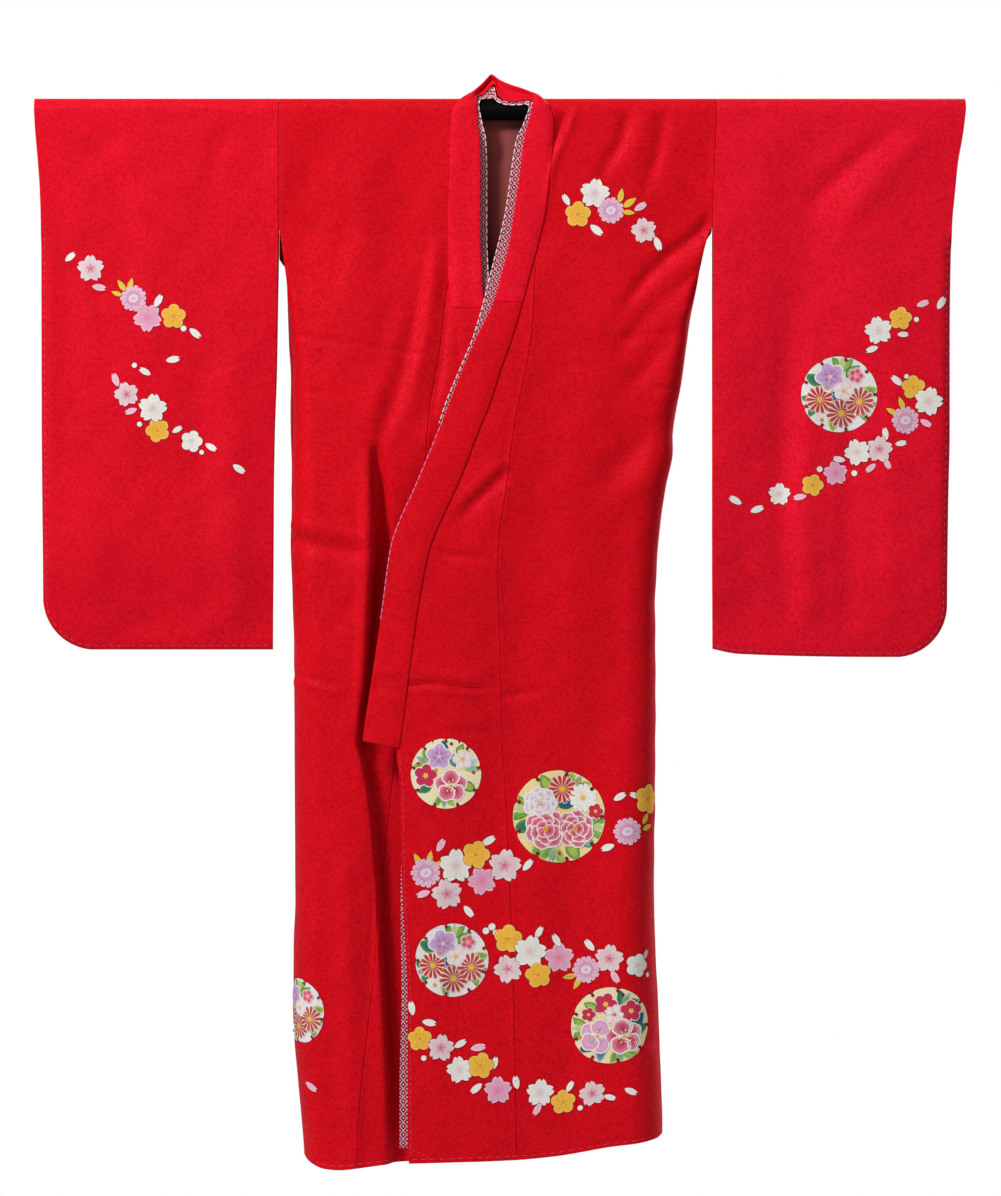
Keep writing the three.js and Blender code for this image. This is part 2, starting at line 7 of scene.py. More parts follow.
import bpy
import numpy as np
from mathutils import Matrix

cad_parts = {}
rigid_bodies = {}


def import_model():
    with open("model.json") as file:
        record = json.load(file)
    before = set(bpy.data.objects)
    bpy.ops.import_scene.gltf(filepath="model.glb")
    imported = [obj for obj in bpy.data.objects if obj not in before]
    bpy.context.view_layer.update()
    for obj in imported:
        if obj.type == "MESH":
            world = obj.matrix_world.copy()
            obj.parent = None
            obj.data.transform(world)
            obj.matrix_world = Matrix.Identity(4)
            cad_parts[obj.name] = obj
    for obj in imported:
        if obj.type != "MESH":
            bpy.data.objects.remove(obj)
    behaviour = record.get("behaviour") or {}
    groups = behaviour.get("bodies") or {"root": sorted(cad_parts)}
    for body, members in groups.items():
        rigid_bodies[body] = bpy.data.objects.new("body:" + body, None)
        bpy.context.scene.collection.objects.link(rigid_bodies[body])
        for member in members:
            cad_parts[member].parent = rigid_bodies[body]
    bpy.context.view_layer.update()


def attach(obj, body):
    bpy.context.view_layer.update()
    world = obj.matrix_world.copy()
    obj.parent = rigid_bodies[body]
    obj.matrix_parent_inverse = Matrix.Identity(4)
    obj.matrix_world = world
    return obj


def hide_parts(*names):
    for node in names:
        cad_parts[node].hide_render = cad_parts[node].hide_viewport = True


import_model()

# ------------------------------------------------------------------ sizes (mm)
CLOTH_RADIUS = 15.6
SEAM_GAP = 0.3
COLLAR_OVER = 3.0
STRIP_UNDER = 2.4
LINING_UNDER = 2.4
TUCK = 10.0
SLEEVE_CORNER = 72.0
SLEEVE_ROLL = 16.0
ARMHOLE_END = {"front": -163.0, "back": -206.0}
BACK_LEAVES = {"right": -206.0, "left": -166.0}   # where a back panel parts from its sleeve
STEP_IN = 15.0
SIDE_SEAM_TOP = -300.0
CUFF_END = {"right": -165.0, "left": -172.0}
OVERCOLLAR_END = {"right": -277.6, "left": -269.3}
COLLAR_END = -880.0
HEM = -1464.0
ARC = CLOTH_RADIUS * math.pi / 2
SIGN = {"right": 1.0, "left": -1.0}
SHELL = 1.4                     # thickness of the drawn cloth
U = 1.393                       # one plan unit


def pl(u, v):
    """Plan units to the garment's own x, z."""
    return ((u - 500.5) * U, (97.0 - v) * U + 16.3)


# ------------------------------------------------------------- smooth tables
class Curve:
    """Monotone cubic through a table's column, clamped at its ends."""

    def __init__(self, q, v):
        order = np.argsort(q)
        x, y = np.array(q, float)[order], np.array(v, float)[order]
        h = np.diff(x)
        d = np.diff(y) / h
        m = np.zeros(len(x))
        m[0], m[-1] = d[0], d[-1]
        for i in range(1, len(x) - 1):
            if d[i - 1] * d[i] > 0:
                a, b = h[i - 1], h[i]
                m[i] = 3 * (a + b) / ((2 * b + a) / d[i - 1] + (b + 2 * a) / d[i])
        self.x, self.y, self.m = x, y, m

    def __call__(self, q):
        x, y, m = self.x, self.y, self.m
        q = np.clip(np.asarray(q, float), x[0], x[-1])
        i = np.clip(np.searchsorted(x, q, side="left") - 1, 0, len(x) - 2)
        h = x[i + 1] - x[i]
        t = (q - x[i]) / h
        t2, t3 = t * t, t * t * t
        return ((2 * t3 - 3 * t2 + 1) * y[i] + (t3 - 2 * t2 + t) * h * m[i]
                + (-2 * t3 + 3 * t2) * y[i + 1] + (t3 - t2) * h * m[i + 1])


def table(names, rows):
    cols = list(zip(*rows))
    return {n: Curve(cols[0], c) for n, c in zip(names.split()[1:], cols[1:])}


SLEEVE = {
    "right": table("z outer inner", [
        (16.3, -651.9, -309.5), (-24, -649.8, -309.5), (-72, -645.7, -309.5), (-113, -642.9, -309.5),
        (-170, -641.4, -309.6), (-280, -641.2, -311.3), (-364, -641.0, -312.7), (-448, -640.8, -315.5),
        (-531, -640.2, -316.9), (-656, -639.0, -317.5), (-766, -638.7, -317.9)]),
    "left": table("z outer inner", [
        (16.3, 651.2, 303.0), (-18.5, 647.5, 301.5), (-44, 643.8, 300.2), (-72, 638.7, 299.0),
        (-113, 634.5, 297.4), (-160, 630.3, 296.0), (-240, 628.3, 296.0), (-322, 627.5, 296.0),
        (-448, 627.5, 296.0), (-545, 625.5, 296.0), (-656, 624.1, 296.0), (-766, 623.4, 296.0)]),
}
SLEEVE_BOTTOM = {
    "right": table("x z", [(-652, -753.3), (-300, -753.3)]),
    "left": table("x z", [(290, -751.2), (334, -759.6), (528, -763.8), (652, -763.8)]),
}
SLEEVE_LOW = {"right": -753.3, "left": -763.8}
SIDE = {
    "right": table("z x", [
        (-163, -309.5), (-176, -307.0), (-213, -302.0), (-239, -298.8), (-280, -296.0), (-322, -293.2),
        (-364, -290.4), (-545, -290.4), (-601, -292.5), (-684, -289.7), (-754, -287.7), (-963, -287.0),
        (-1102, -286.3), (-1172, -288.8), (-1242, -289.0), (-1297, -287.7), (-1367, -282.0),
        (-1409, -278.0), (-1460, -273.0)]),
    "left": table("z x", [
        (-163, 295.6), (-176, 290.0), (-197, 283.5), (-239, 275.1), (-280, 266.8), (-322, 259.8),
        (-364, 252.8), (-406, 247.3), (-448, 240.3), (-489, 234.7), (-531, 227.8), (-573, 222.2),
        (-615, 218.0), (-656, 215.2), (-698, 213.8), (-1074, 213.8), (-1172, 215.9), (-1242, 219.4),
        (-1325, 222.2), (-1409, 225.0), (-1440, 225.7)]),
}
DEPTH = table("z half roll", [
    (16, 15.6, 2), (-163, 15.6, 2), (-206, 18, 8), (-300, 27, 16), (-420, 35, 30),
    (-600, 41, 38), (-900, 45, 42), (-1200, 49, 44), (-1500, 52, 46)])
OKUMI = {
    "right": table("z seam free", [
        (-190, -64.5, 3.5), (-252, -74.5, 3.5), (-343, -85.7, 3.5), (-425, -99.6, 3.5),
        (-500, -105.2, 3.5), (-684, -126.1, 3.5), (-896, -146.5, 3.5), (-1033, -161.0, -2.1),
        (-1140, -172.0, -23.0), (-1175, -173.4, -29.0), (-1278, -184.6, -35.5), (-1398, -197.1, -49.5),
        (-1476, -199.9, -52.2)]),
    "left": table("z seam free", [
        (-200, 49.8, -144.2), (-303, 45.3, -144.2), (-372, 34.1, -144.2), (-441, 20.2, -144.2),
        (-517, 10.3, -144.2), (-608, -2.1, -144.2), (-644, -3.5, -144.2), (-716, -1.0, -144.2),
        (-815, 1.5, -144.2), (-896, 3.8, -144.2), (-948, 7.3, -139.0), (-1033, 11.5, -138.3),
        (-1102, 14.3, -135.8), (-1230, 18.8, -129.4), (-1363, 21.2, -128.9), (-1445, 22.7, -128.9),
        (-1466, 23.0, -126.8)]),
}
COLLAR = {
    "right": table("z outer inner strip", [
        (4, -66.2, -32.4, -31.0), (-12, -69.0, -32.2, -27.9), (-43, -70.0, -28.6, -20.2),
        (-92, -71.2, -27.8, -18.8), (-127, -73.1, -28.0, -18.8), (-183, -73.6, -28.1, -18.8),
        (-212, -73.8, -27.0, -17.6), (-250, -71.6, -24.9, -15.6), (-280, -67.6, -20.2, -11.0),
        (-340, -57.8, -10.5, -2), (-406, -48.1, -2.0, 6), (-545, -31.3, 14.6, 22),
        (-684, -17.4, 29.9, 37), (-824, -3.4, 45.3, 52), (-890, 3.5, 50.8, 57)]),
    "left": table("z outer inner strip", [
        (4, 68.5, 45.0, 44.0), (-12, 74.1, 40.4, 36.9), (-43, 73.4, 32.4, 22.2), (-92, 68.5, 26.4, 14.2),
        (-140, 63.4, 19.2, 7.4), (-183, 53.6, 12.5, -2.1), (-230, 41.1, 1.2, -14.0),
        (-272, 29.9, -11.2, -24.4), (-319, 16.0, -33.6, -38.3), (-367, -0.7, -54.5, -58.3),
        (-414, -16.0, -72.8, -77.5), (-434, -24.4, -80.3, -84.0), (-517, -57.0, -114.2, -117.0),
        (-602, -95.0, -150.0, -152.5), (-616, -99.6, -153.2, -155.5), (-691, -114.1, -163.5, -165.5),
        (-790, -127.7, -178.4, -180.5), (-853, -136.5, -188.0, -190.0), (-890, -143.0, -192.8, -194.8)]),
}
WEDGE = table("z x drop", [
    (-230, -173, 0), (-280, -173, 2), (-440, -173, 3), (-482, -174.8, 6), (-560, -180, 16),
    (-650, -183, 23), (-760, -188.5, 28), (-882, -199.9, 30), (-914, -192.9, 30), (-963, -181.8, 30),
    (-1063, -173.4, 30), (-1140, -170.6, 30), (-1242, -165.1, 30), (-1353, -159.5, 29),
    (-1476, -156.7, 28)])
LIFT = table("z mm", [(16, 0), (-10, 0.5), (-60, 2.5), (-150, 5.5), (-240, 8), (-400, 10),
                      (-880, 12), (-1500, 12)])
HEM_LINE = {
    "front": table("x z", [(-290, -1440), (-278, -1446), (-270, -1461), (-262, -1468), (-244, -1475.6),
                           (-224, -1477), (-196, -1474), (-134, -1467), (-65, -1465.4), (15, -1463),
                           (72, -1458), (146, -1445.5), (218, -1433.8), (230, -1425)]),
    "back": table("x z", [(-290, -1440), (-278, -1446), (-262, -1450), (-180, -1453), (0, -1448), (150, -1438),
                          (218, -1433.8), (230, -1425)]),
}
BACK_FOLDS = [(-150, -196, 34, 9), (-62, -84, 40, -8), (36, 44, 36, 10), (120, 150, 34, -7)]
NECK = [
    (-62, -16.6, 9, -47, -19.6, 10, -33, -20, 8),
    (-52, -7, 17.6, -42, -9, 21, -33, -13, 16),
    (-46, 6, 17.9, -37, 4, 27, -31, -3, 19.6),
    (-36, 15.7, 10.7, -27, 9, 36, -24, 0, 22.5),
    (-22, 18.7, 1, -19, 11, 43, -16, 1, 30),
    (-12, 18.8, -4, -13, 11, 46.5, -8, 2, 36),
    (0, 18.8, -4, 1, 10, 40, -3, -10, 20),
    (12, 18.8, -4, 14, 9, 35, 9, -14.9, 11.4),
    (26, 18.7, 0, 28, 8, 30.5, 26, -14.9, 11.6),
    (40, 15.7, 10.4, 41, 5, 26, 37, -13.4, 13.8),
    (49, 6, 17.9, 47, 0, 23.4, 44, -15, 12.2),
    (57, -8, 17.2, 51, -11, 19, 45, -17.4, 8.6),
    (67, -18, 6.6, 57, -19.8, 6.4, 45, -19.8, 4.4)]
NECK_STRIP = [
    (-38, -16.3, 6.5, -30.5, -16.5, 3.5),
    (-37, -11.6, 12.8, -29.5, -13, 10.6),
    (-33, -3, 17.2, -27, -6.5, 14.8),
    (-25.5, 3, 20.4, -20.5, -3.4, 16.2),
    (-17.5, 4, 27, -15, -2.4, 16.6),
    (-9.5, 4, 33, -9, -2.4, 17.2),
    (-5, -7.4, 17.6, -4.2, -11.6, 11.2),
    (8, -11.2, 11.3, 9, -14.6, 6.6),
    (26, -11.3, 11.3, 26, -14.8, 6.4),
    (37.5, -10.4, 12.3, 35.5, -14.2, 7.6),
    (44.5, -12.6, 10, 39.5, -15.3, 5),
    (46.5, -15.6, 4.2, 40.2, -16.4, 0.6)]
NECK_EDGE = table("deg right left", [
    (-90, -56, 60), (-67.5, -54, 58), (-45, -50, 54), (-22.5, -45.5, 50), (0, -41, 46),
    (22.5, -38, 43), (45, -32, 37), (67.5, -24, 28), (90, -12, 13)])
STRIP_FREE = table("z x", [(-1020, -137.4), (-1102, -138.6), (-1230, -137.2), (-1360, -140), (-1445, -140)])


def clamp01(t):
    return np.clip(t, 0.0, 1.0)


def smooth(t):
    c = clamp01(t)
    return c * c * (3 - 2 * c)


def mix(a, b, t):
    return a + (b - a) * t


# ------------------------------------------------- creases
class Crease:
    """A soft trough (depth < 0) or ridge (depth > 0) along a line of plan points.
    skew tips it into a step, fade gives how much of its length fades in and out."""

    def __init__(self, depth, width, points, skew=0.0, fade=(0.3, 0.3)):
        p = np.array([pl(*q) for q in points], float)
        self.depth, self.width, self.skew, self.fade = depth * 1.35, width, skew, fade
        out = []
        n = len(p)
        for i in range(n - 1):
            a, b, c, d = p[max(0, i - 1)], p[i], p[i + 1], p[min(n - 1, i + 2)]
            for k in range(6):
                t = k / 6
                out.append(0.5 * ((2 * b) + (c - a) * t + (2 * a - 5 * b + 4 * c - d) * t * t
                                  + (3 * b - a - 3 * c + d) * t ** 3))
        out.append(p[-1])
        self.p = np.array(out)
        seg = np.hypot(*np.diff(self.p, axis=0).T)
        self.at = np.concatenate([[0], np.cumsum(seg)])
        self.lo, self.hi = self.p.min(0) - 3 * width, self.p.max(0) + 3 * width

    def add(self, x, z, into):
        inside = (x > self.lo[0]) & (x < self.hi[0]) & (z > self.lo[1]) & (z < self.hi[1])
        if not inside.any():
            return
        qx, qz = x[inside], z[inside]
        best = np.full(qx.shape, 1e9)
        side = np.zeros(qx.shape)
        along = np.zeros(qx.shape)
        for i in range(len(self.p) - 1):
            a, b = self.p[i], self.p[i + 1]
            d = b - a
            ll = float(d @ d) + 1e-9
            t = clamp01(((qx - a[0]) * d[0] + (qz - a[1]) * d[1]) / ll)
            ex, ez = qx - (a[0] + d[0] * t), qz - (a[1] + d[1] * t)
            r = np.hypot(ex, ez)
            near = r < best
            best = np.where(near, r, best)
            side = np.where(near, np.sign(ex * d[1] - ez * d[0]), side)
            along = np.where(near, self.at[i] + t * (self.at[i + 1] - self.at[i]), along)
        f = along / self.at[-1]
        env = np.ones(qx.shape)
        if self.fade[0] > 0:
            env = env * smooth(f / self.fade[0])
        if self.fade[1] > 0:
            env = env * smooth((1 - f) / self.fade[1])
        q = best / self.width
        bell = np.exp(-q * q)
        step = side * q * np.exp(0.5 - q * q) * 1.2
        into[inside] += self.depth * env * ((1 - abs(self.skew)) * bell + self.skew * step)


FRONT_CREASES = {
    "left": [
        Crease(3.0, 5.0, [(580, 99), (571, 122), (560, 146), (549, 182), (543, 236)], fade=(0.05, 0.5)),
        Crease(-6.5, 6.0, [(567, 96), (564, 112), (559, 132), (552, 160)], fade=(0.0, 0.6)),
        Crease(-3.6, 9, [(630, 98), (622, 138), (604, 170), (592, 200)], fade=(0.02, 0.5)),
        Crease(1.6, 12, [(646, 99), (640, 140), (622, 180)], fade=(0.1, 0.5)),
        Crease(-3.4, 10, [(664, 98), (660, 145), (650, 175), (636, 214)], fade=(0.1, 0.5)),
        Crease(-6.0, 10, [(708, 220), (694, 234), (665, 256), (636, 287), (606, 328)], skew=-0.25, fade=(0.0, 0.5)),
        Crease(1.6, 10, [(706, 250), (684, 274), (656, 306), (626, 350)], fade=(0.0, 0.5)),
        Crease(-4.0, 12, [(690, 272), (660, 298), (630, 334), (600, 378)], skew=-0.3, fade=(0.0, 0.5)),
        Crease(-2.4, 14, [(696, 316), (664, 346), (630, 386), (596, 424)], fade=(0.0, 0.5)),
        Crease(-3.2, 20, [(692, 398), (648, 436), (604, 478), (570, 520)], fade=(0.1, 0.5)),
        Crease(2.4, 22, [(690, 440), (640, 480), (590, 530)], fade=(0.2, 0.5)),
        Crease(-1.5, 5, [(598, 341), (645, 336), (692, 330)]),
        Crease(-1.4, 5, [(648, 389), (682, 388)]),
        Crease(-2.6, 4, [(428, 551), (460, 556), (492, 560)]),
        Crease(-5.0, 12, [(512, 462), (482, 490), (448, 524)], skew=-0.6, fade=(0.2, 0.4)),
        Crease(-2.8, 3.6, [(376, 680), (392, 680), (407, 681)], fade=(0.0, 0.1)),
        Crease(-2.8, 3.6, [(376, 688), (392, 688), (407, 689)], fade=(0.0, 0.1)),
        Crease(-5.2, 3.2, [(404, 682), (448, 685), (494, 688)], skew=0.3, fade=(0.1, 0.2)),
        Crease(3.0, 4.2, [(408, 688), (450, 691), (490, 694)]),
        Crease(1.4, 7, [(404, 672), (450, 676), (496, 680)]),
        Crease(-2.4, 5, [(499, 697), (528, 692), (560, 686)], fade=(0.1, 0.4)),
        Crease(-1.4, 5, [(436, 731), (468, 732), (502, 731)]),
        Crease(-1.8, 24, [(560, 560), (556, 700), (566, 900), (572, 1140)], fade=(0.3, 0.0)),
        Crease(2.0, 26, [(618, 620), (612, 760), (622, 980), (630, 1135)], fade=(0.3, 0.0)),
        Crease(-1.6, 22, [(470, 760), (462, 900), (458, 1040), (456, 1150)], fade=(0.3, 0.0)),
        Crease(-1.8, 12, [(600, 1020), (640, 1040), (664, 1052)], fade=(0.4, 0.1)),
    ],
    "right": [
        Crease(-1.8, 3.6, [(295, 334), (352, 343), (414, 353), (436, 354)], skew=0.3, fade=(0.0, 0.1)),
        Crease(-1.0, 4, [(298, 392), (327, 392)]),
        Crease(-5.0, 15, [(290, 534), (330, 541), (374, 550)], skew=0.6, fade=(0.0, 0.3)),
        Crease(-1.8, 4.5, [(294, 675), (322, 681), (352, 688)], fade=(0.0, 0.3)),
        Crease(1.3, 5, [(294, 682), (322, 688), (350, 695)], fade=(0.0, 0.3)),
        Crease(-3.4, 9, [(452, 226), (446, 300), (438, 372), (424, 440)], fade=(0.2, 0.3)),
        Crease(2.6, 9, [(438, 215), (430, 300), (418, 372), (402, 440)], fade=(0.3, 0.3)),
        Crease(-3.0, 11, [(424, 250), (412, 330), (394, 400), (372, 458)], fade=(0.3, 0.1)),
        Crease(2.0, 14, [(400, 300), (384, 380), (352, 450)], fade=(0.4, 0.4)),
        Crease(-2.0, 18, [(350, 160), (340, 260), (330, 330)], fade=(0.4, 0.4)),
        Crease(-3.0, 18, [(318, 760), (322, 900), (326, 1040), (332, 1150)], fade=(0.4, 0.0)),
        Crease(3.0, 14, [(344, 780), (348, 900), (350, 1020), (354, 1150)], fade=(0.4, 0.0)),
        Crease(-5.0, 8, [(374, 742), (374, 800), (376, 880), (373, 960), (372, 1060)], skew=0.2, fade=(0.1, 0.4)),
        Crease(-13.5, 8.5, [(376, 440), (379, 480), (382, 515), (385, 545), (380, 600), (374, 660)], fade=(0.10, 0.5)),
        Crease(3.4, 7, [(366, 452), (366, 500), (365, 560), (362, 640), (357, 740)], fade=(0.2, 0.3)),
    ],
}
BACK_CREASES = {   # plan units seen through from the front
    "right": [
        Crease(-1.8, 4, [(292, 336), (380, 345), (470, 341)], skew=0.3),
        Crease(-2.4, 5, [(296, 684), (380, 690), (492, 684)], skew=0.3),
        Crease(-3.4, 16, [(300, 250), (350, 300), (400, 380)], fade=(0.0, 0.5)),
        Crease(2.6, 18, [(300, 290), (350, 340), (396, 420)], fade=(0.0, 0.5)),
        Crease(-2.6, 16, [(330, 110), (352, 190), (366, 300)], fade=(0.1, 0.5)),
        Crease(-1.6, 6, [(400, 560), (450, 566), (494, 560)]),
    ],
    "left": [
        Crease(-1.8, 4, [(508, 342), (590, 346), (668, 336)], skew=0.3),
        Crease(-2.4, 5, [(508, 686), (580, 690), (650, 682)], skew=0.3),
        Crease(-3.6, 14, [(700, 256), (650, 300), (600, 372)], fade=(0.0, 0.5)),
        Crease(2.4, 16, [(694, 300), (640, 350), (590, 430)], fade=(0.0, 0.5)),
        Crease(-2.6, 18, [(660, 104), (640, 180), (630, 280)], fade=(0.1, 0.5)),
        Crease(-1.6, 6, [(510, 520), (560, 524), (610, 516)]),
    ],
}
SLEEVE_CREASES = {
    ("left", "front"): [
        Crease(-3.6, 14, [(915, 106), (870, 148), (826, 190), (790, 240)], fade=(0.1, 0.5)),
        Crease(2.8, 16, [(935, 120), (890, 170), (846, 220), (812, 280)], fade=(0.1, 0.5)),
        Crease(-3.0, 17, [(800, 250), (786, 380), (782, 500), (790, 640)], fade=(0.4, 0.1)),
        Crease(2.6, 16, [(824, 280), (812, 400), (806, 520), (812, 640)], fade=(0.4, 0.1)),
        Crease(-2.6, 18, [(862, 300), (852, 420), (848, 540), (852, 645)], fade=(0.4, 0.1)),
        Crease(2.0, 20, [(900, 260), (894, 420), (890, 560), (896, 640)], fade=(0.4, 0.1)),
        Crease(-3.2, 6.5, [(713, 538), (735, 554), (764, 577)], skew=0.3, fade=(0.0, 0.5)),
        Crease(1.8, 7, [(713, 552), (736, 566), (758, 584)], fade=(0.0, 0.5)),
        Crease(-1.6, 22, [(740, 130), (744, 240), (736, 400)], fade=(0.1, 0.4)),
    ],
    ("right", "front"): [
        Crease(-2.2, 20, [(90, 110), (120, 200), (130, 330)], fade=(0.1, 0.5)),
        Crease(1.8, 20, [(60, 150), (86, 300), (92, 460)], fade=(0.2, 0.4)),
        Crease(-2.2, 22, [(206, 300), (200, 440), (206, 640)], fade=(0.4, 0.1)),
        Crease(1.8, 20, [(236, 280), (232, 420), (238, 640)], fade=(0.4, 0.1)),
        Crease(-1.8, 24, [(120, 470), (118, 560), (124, 645)], fade=(0.4, 0.1)),
        Crease(-2.0, 16, [(240, 104), (214, 160), (200, 240)], fade=(0.05, 0.5)),
    ],
    ("left", "back"): [
        Crease(-2.6, 20, [(880, 110), (850, 240), (842, 420), (848, 640)], fade=(0.1, 0.1)),
        Crease(2.2, 20, [(800, 150), (790, 330), (794, 640)], fade=(0.3, 0.1)),
        Crease(-2.2, 18, [(748, 200), (744, 400), (748, 640)], fade=(0.3, 0.1)),
    ],
    ("right", "back"): [
        Crease(-2.6, 20, [(110, 110), (140, 240), (150, 420), (144, 640)], fade=(0.1, 0.1)),
        Crease(2.2, 20, [(196, 150), (204, 330), (200, 640)], fade=(0.3, 0.1)),
        Crease(-2.2, 18, [(240, 200), (246, 400), (242, 640)], fade=(0.3, 0.1)),
    ],
}

# long, gentle unevenness of hanging silk: a few fixed waves
_rng = np.random.default_rng(11)
WAVES = [(float(_rng.uniform(0.012, 0.055)) * (1 if i % 2 else -1), float(_rng.uniform(-0.012, 0.012)),
          float(_rng.uniform(0, 6.28)), float(_rng.uniform(0.25, 0.6))) for i in range(9)]
RIPPLES = [(float(_rng.uniform(0.05, 0.13)), float(_rng.uniform(-0.10, 0.10)),
            float(_rng.uniform(0, 6.28)), float(_rng.uniform(0.04, 0.10))) for i in range(12)]


def unevenness(x, z, shift):
    d = np.zeros(np.shape(x))
    for kx, kz, ph, amp in WAVES:
        d += 1.6 * amp * np.sin(kx * x + kz * z + ph + shift)
    for kx, kz, ph, amp in RIPPLES:
        d += 1.8 * amp * np.sin(kx * x + kz * z + ph + shift * 1.7)
    return d


def pucker(dist, z, k):
    """Tiny gathers that a seam draws into the cloth beside it."""
    return 0.32 * np.exp(-(dist / 9.0) ** 2) * np.sin(z * k + 1.3 * np.sin(z * 0.11))


def ridge(dist, w, h):
    return h * np.exp(-(dist / w) ** 2)


def front_disp(side, x, z):
    d = np.zeros(np.shape(x))
    for c in FRONT_CREASES[side]:
        c.add(x, z, d)
    d += unevenness(x, z, 0.0 if side == "left" else 2.1) * smooth(-z / 80)
    seam = OKUMI[side]["seam"](z)
    s = SIGN[side]
    away = s * (x - seam)                   # > 0 on the overlap panel
    below = smooth((-215 - z) / 30)
    d += below * (ridge(np.where(away < 0, away, away * 1.5), 6.5, 1.0) + pucker(away, z, 0.33))
    if side == "right":                     # under the left front it only sinks
        hidden = smooth((x - (COLLAR["left"]["inner"](z) - 4)) / 14) * smooth((-250 - z) / 40)
        d = mix(d, np.minimum(d, 0) * 0.6 - 0.4, hidden)
    return d


def back_disp(side, x, z):
    d = np.zeros(np.shape(x))
    for c in BACK_CREASES[side]:
        c.add(x, z, d)
    d += unevenness(x, z, 4.0) * smooth(-z / 80)
    d += ridge(np.abs(x) - 1.0, 2.4, -0.9) + ridge(np.abs(x) - 6.0, 4.0, 0.6) + pucker(np.abs(x), z, 0.31)
    return d * smooth((-z - 2) / 14)


def sleeve_disp(side, face, x, z):
    d = np.zeros(np.shape(x))
    for c in SLEEVE_CREASES[(side, face)]:
        c.add(x, z, d)
    d += 1.2 * unevenness(x * 0.8, z, {"left": 1.0, "right": 3.0}[side] + (0.9 if face == "back" else 0))
    outer = SLEEVE[side]["outer"](z)
    inner = SLEEVE[side]["inner"](z)
    low = SLEEVE_BOTTOM[side]["z"](x)
    edge = np.minimum(np.minimum(np.abs(x - outer), z - low), 60)
    free = smooth(edge / 40) * mix(1.0, smooth(np.abs(x - inner) / 26), smooth((z + 190) / 60))
    return d * free * smooth(-z / 60)


# ------------------------------------------------------ where the cloth hangs
def half(z):
    return DEPTH["half"](z)


def front_stand(side, x, z):
    if side == "right":
        narrow = smooth((-470 - z) / 60)
        return -WEDGE["drop"](z) * smooth((x - WEDGE["x"](z) + mix(8, 2, narrow)) / mix(26, 12, narrow))
    edge = np.where(z > COLLAR_END, COLLAR["left"]["outer"](z), OKUMI["left"]["free"](z))
    return LIFT["mm"](z) * (1 - smooth((x - edge) / 220))


def back_stand(x, z):
    down = clamp01((z + 330) / (HEM + 330))
    grown = smooth(down * 1.6)
    s = np.zeros(np.shape(x))
    for top, low, width, depth in BACK_FOLDS:
        s = s + depth * grown * np.exp(-(((x - mix(top, low, down)) / width) ** 2))
    return s


def side_edge(side, face, z):
    end = ARMHOLE_END["front"] if face == "front" else BACK_LEAVES[side]
    seam = SLEEVE[side]["inner"](np.maximum(z, end)) + SIGN[side] * SEAM_GAP / 2
    free = SIDE[side]["x"](z)
    if face == "back":
        free = mix(seam, free, smooth((end - z) / STEP_IN))
    return np.where(z >= end, seam, free)


def roll_of(face, z):
    d, r = half(z), DEPTH["roll"](z)
    closed = smooth((ARMHOLE_END[face] - z) / (ARMHOLE_END[face] - SIDE_SEAM_TOP))
    turn = closed * (math.pi / 2 - 0.1 / d)
    return d, r, turn, turn * np.sqrt((r * r + d * d) / 2)


def hem_shift(face, x, z):
    w = clamp01((z + 1150) / (HEM + 1150))
    return (HEM_LINE[face]["z"](x) - HEM) * w * w


def body_reach(side, face, z, x):
    d, r, turn, length = roll_of(face, z)
    return length + SIGN[side] * (x - side_edge(side, face, z)) - r * np.sin(turn)


def body_face(side, face, z, t):
    """Mid-surface of a body panel's front or back: t runs along the cloth from its side edge."""
    s, out = SIGN[side], (-1.0 if face == "front" else 1.0)
    d, r, turn, length = roll_of(face, z)
    x0 = side_edge(side, face, z)
    rolling = (length > 0) & (t < length)
    a = turn * (1 - t / np.maximum(length, 1e-6))
    a = np.where(rolling, a, 0)
    flat = t - length
    x = np.where(rolling, x0 + s * r * (np.sin(turn) - np.sin(a)), x0 + s * (r * np.sin(turn) + flat))
    stand = front_stand(side, x, z) if face == "front" else back_stand(x, z)
    y = np.where(rolling, d * np.cos(a), d + stand * smooth(flat / 50)) * out
    return np.stack([x, y, z + hem_shift(face, x, z)], -1)


def rod_face(side, s, t):
    a = s / CLOTH_RADIUS
    z, y = CLOTH_RADIUS * np.cos(a), CLOTH_RADIUS * np.sin(a)
    x0 = np.where(a < 0, side_edge(side, "front", z), side_edge(side, "back", z))
    return np.stack([x0 + SIGN[side] * t, y, z], -1)


def body_mid(side, s, t):
    """s runs along the cloth over the rod: front below -ARC, back beyond +ARC."""
    s, t = np.broadcast_arrays(np.asarray(s, float), np.asarray(t, float))
    z = np.minimum(ARC - np.abs(s), 0.0)
    p = np.where((s < 0)[..., None], body_face(side, "front", z, t), body_face(side, "back", z, t))
    return np.where((np.abs(s) < ARC)[..., None], rod_face(side, s, t), p)


def normals_of(point, a, b, h=0.6):
    da = point(a + h, b) - point(a - h, b)
    db = point(a, b + h) - point(a, b - h)
    n = np.cross(da, db)
    return n / np.maximum(np.linalg.norm(n, axis=-1, keepdims=True), 1e-9)


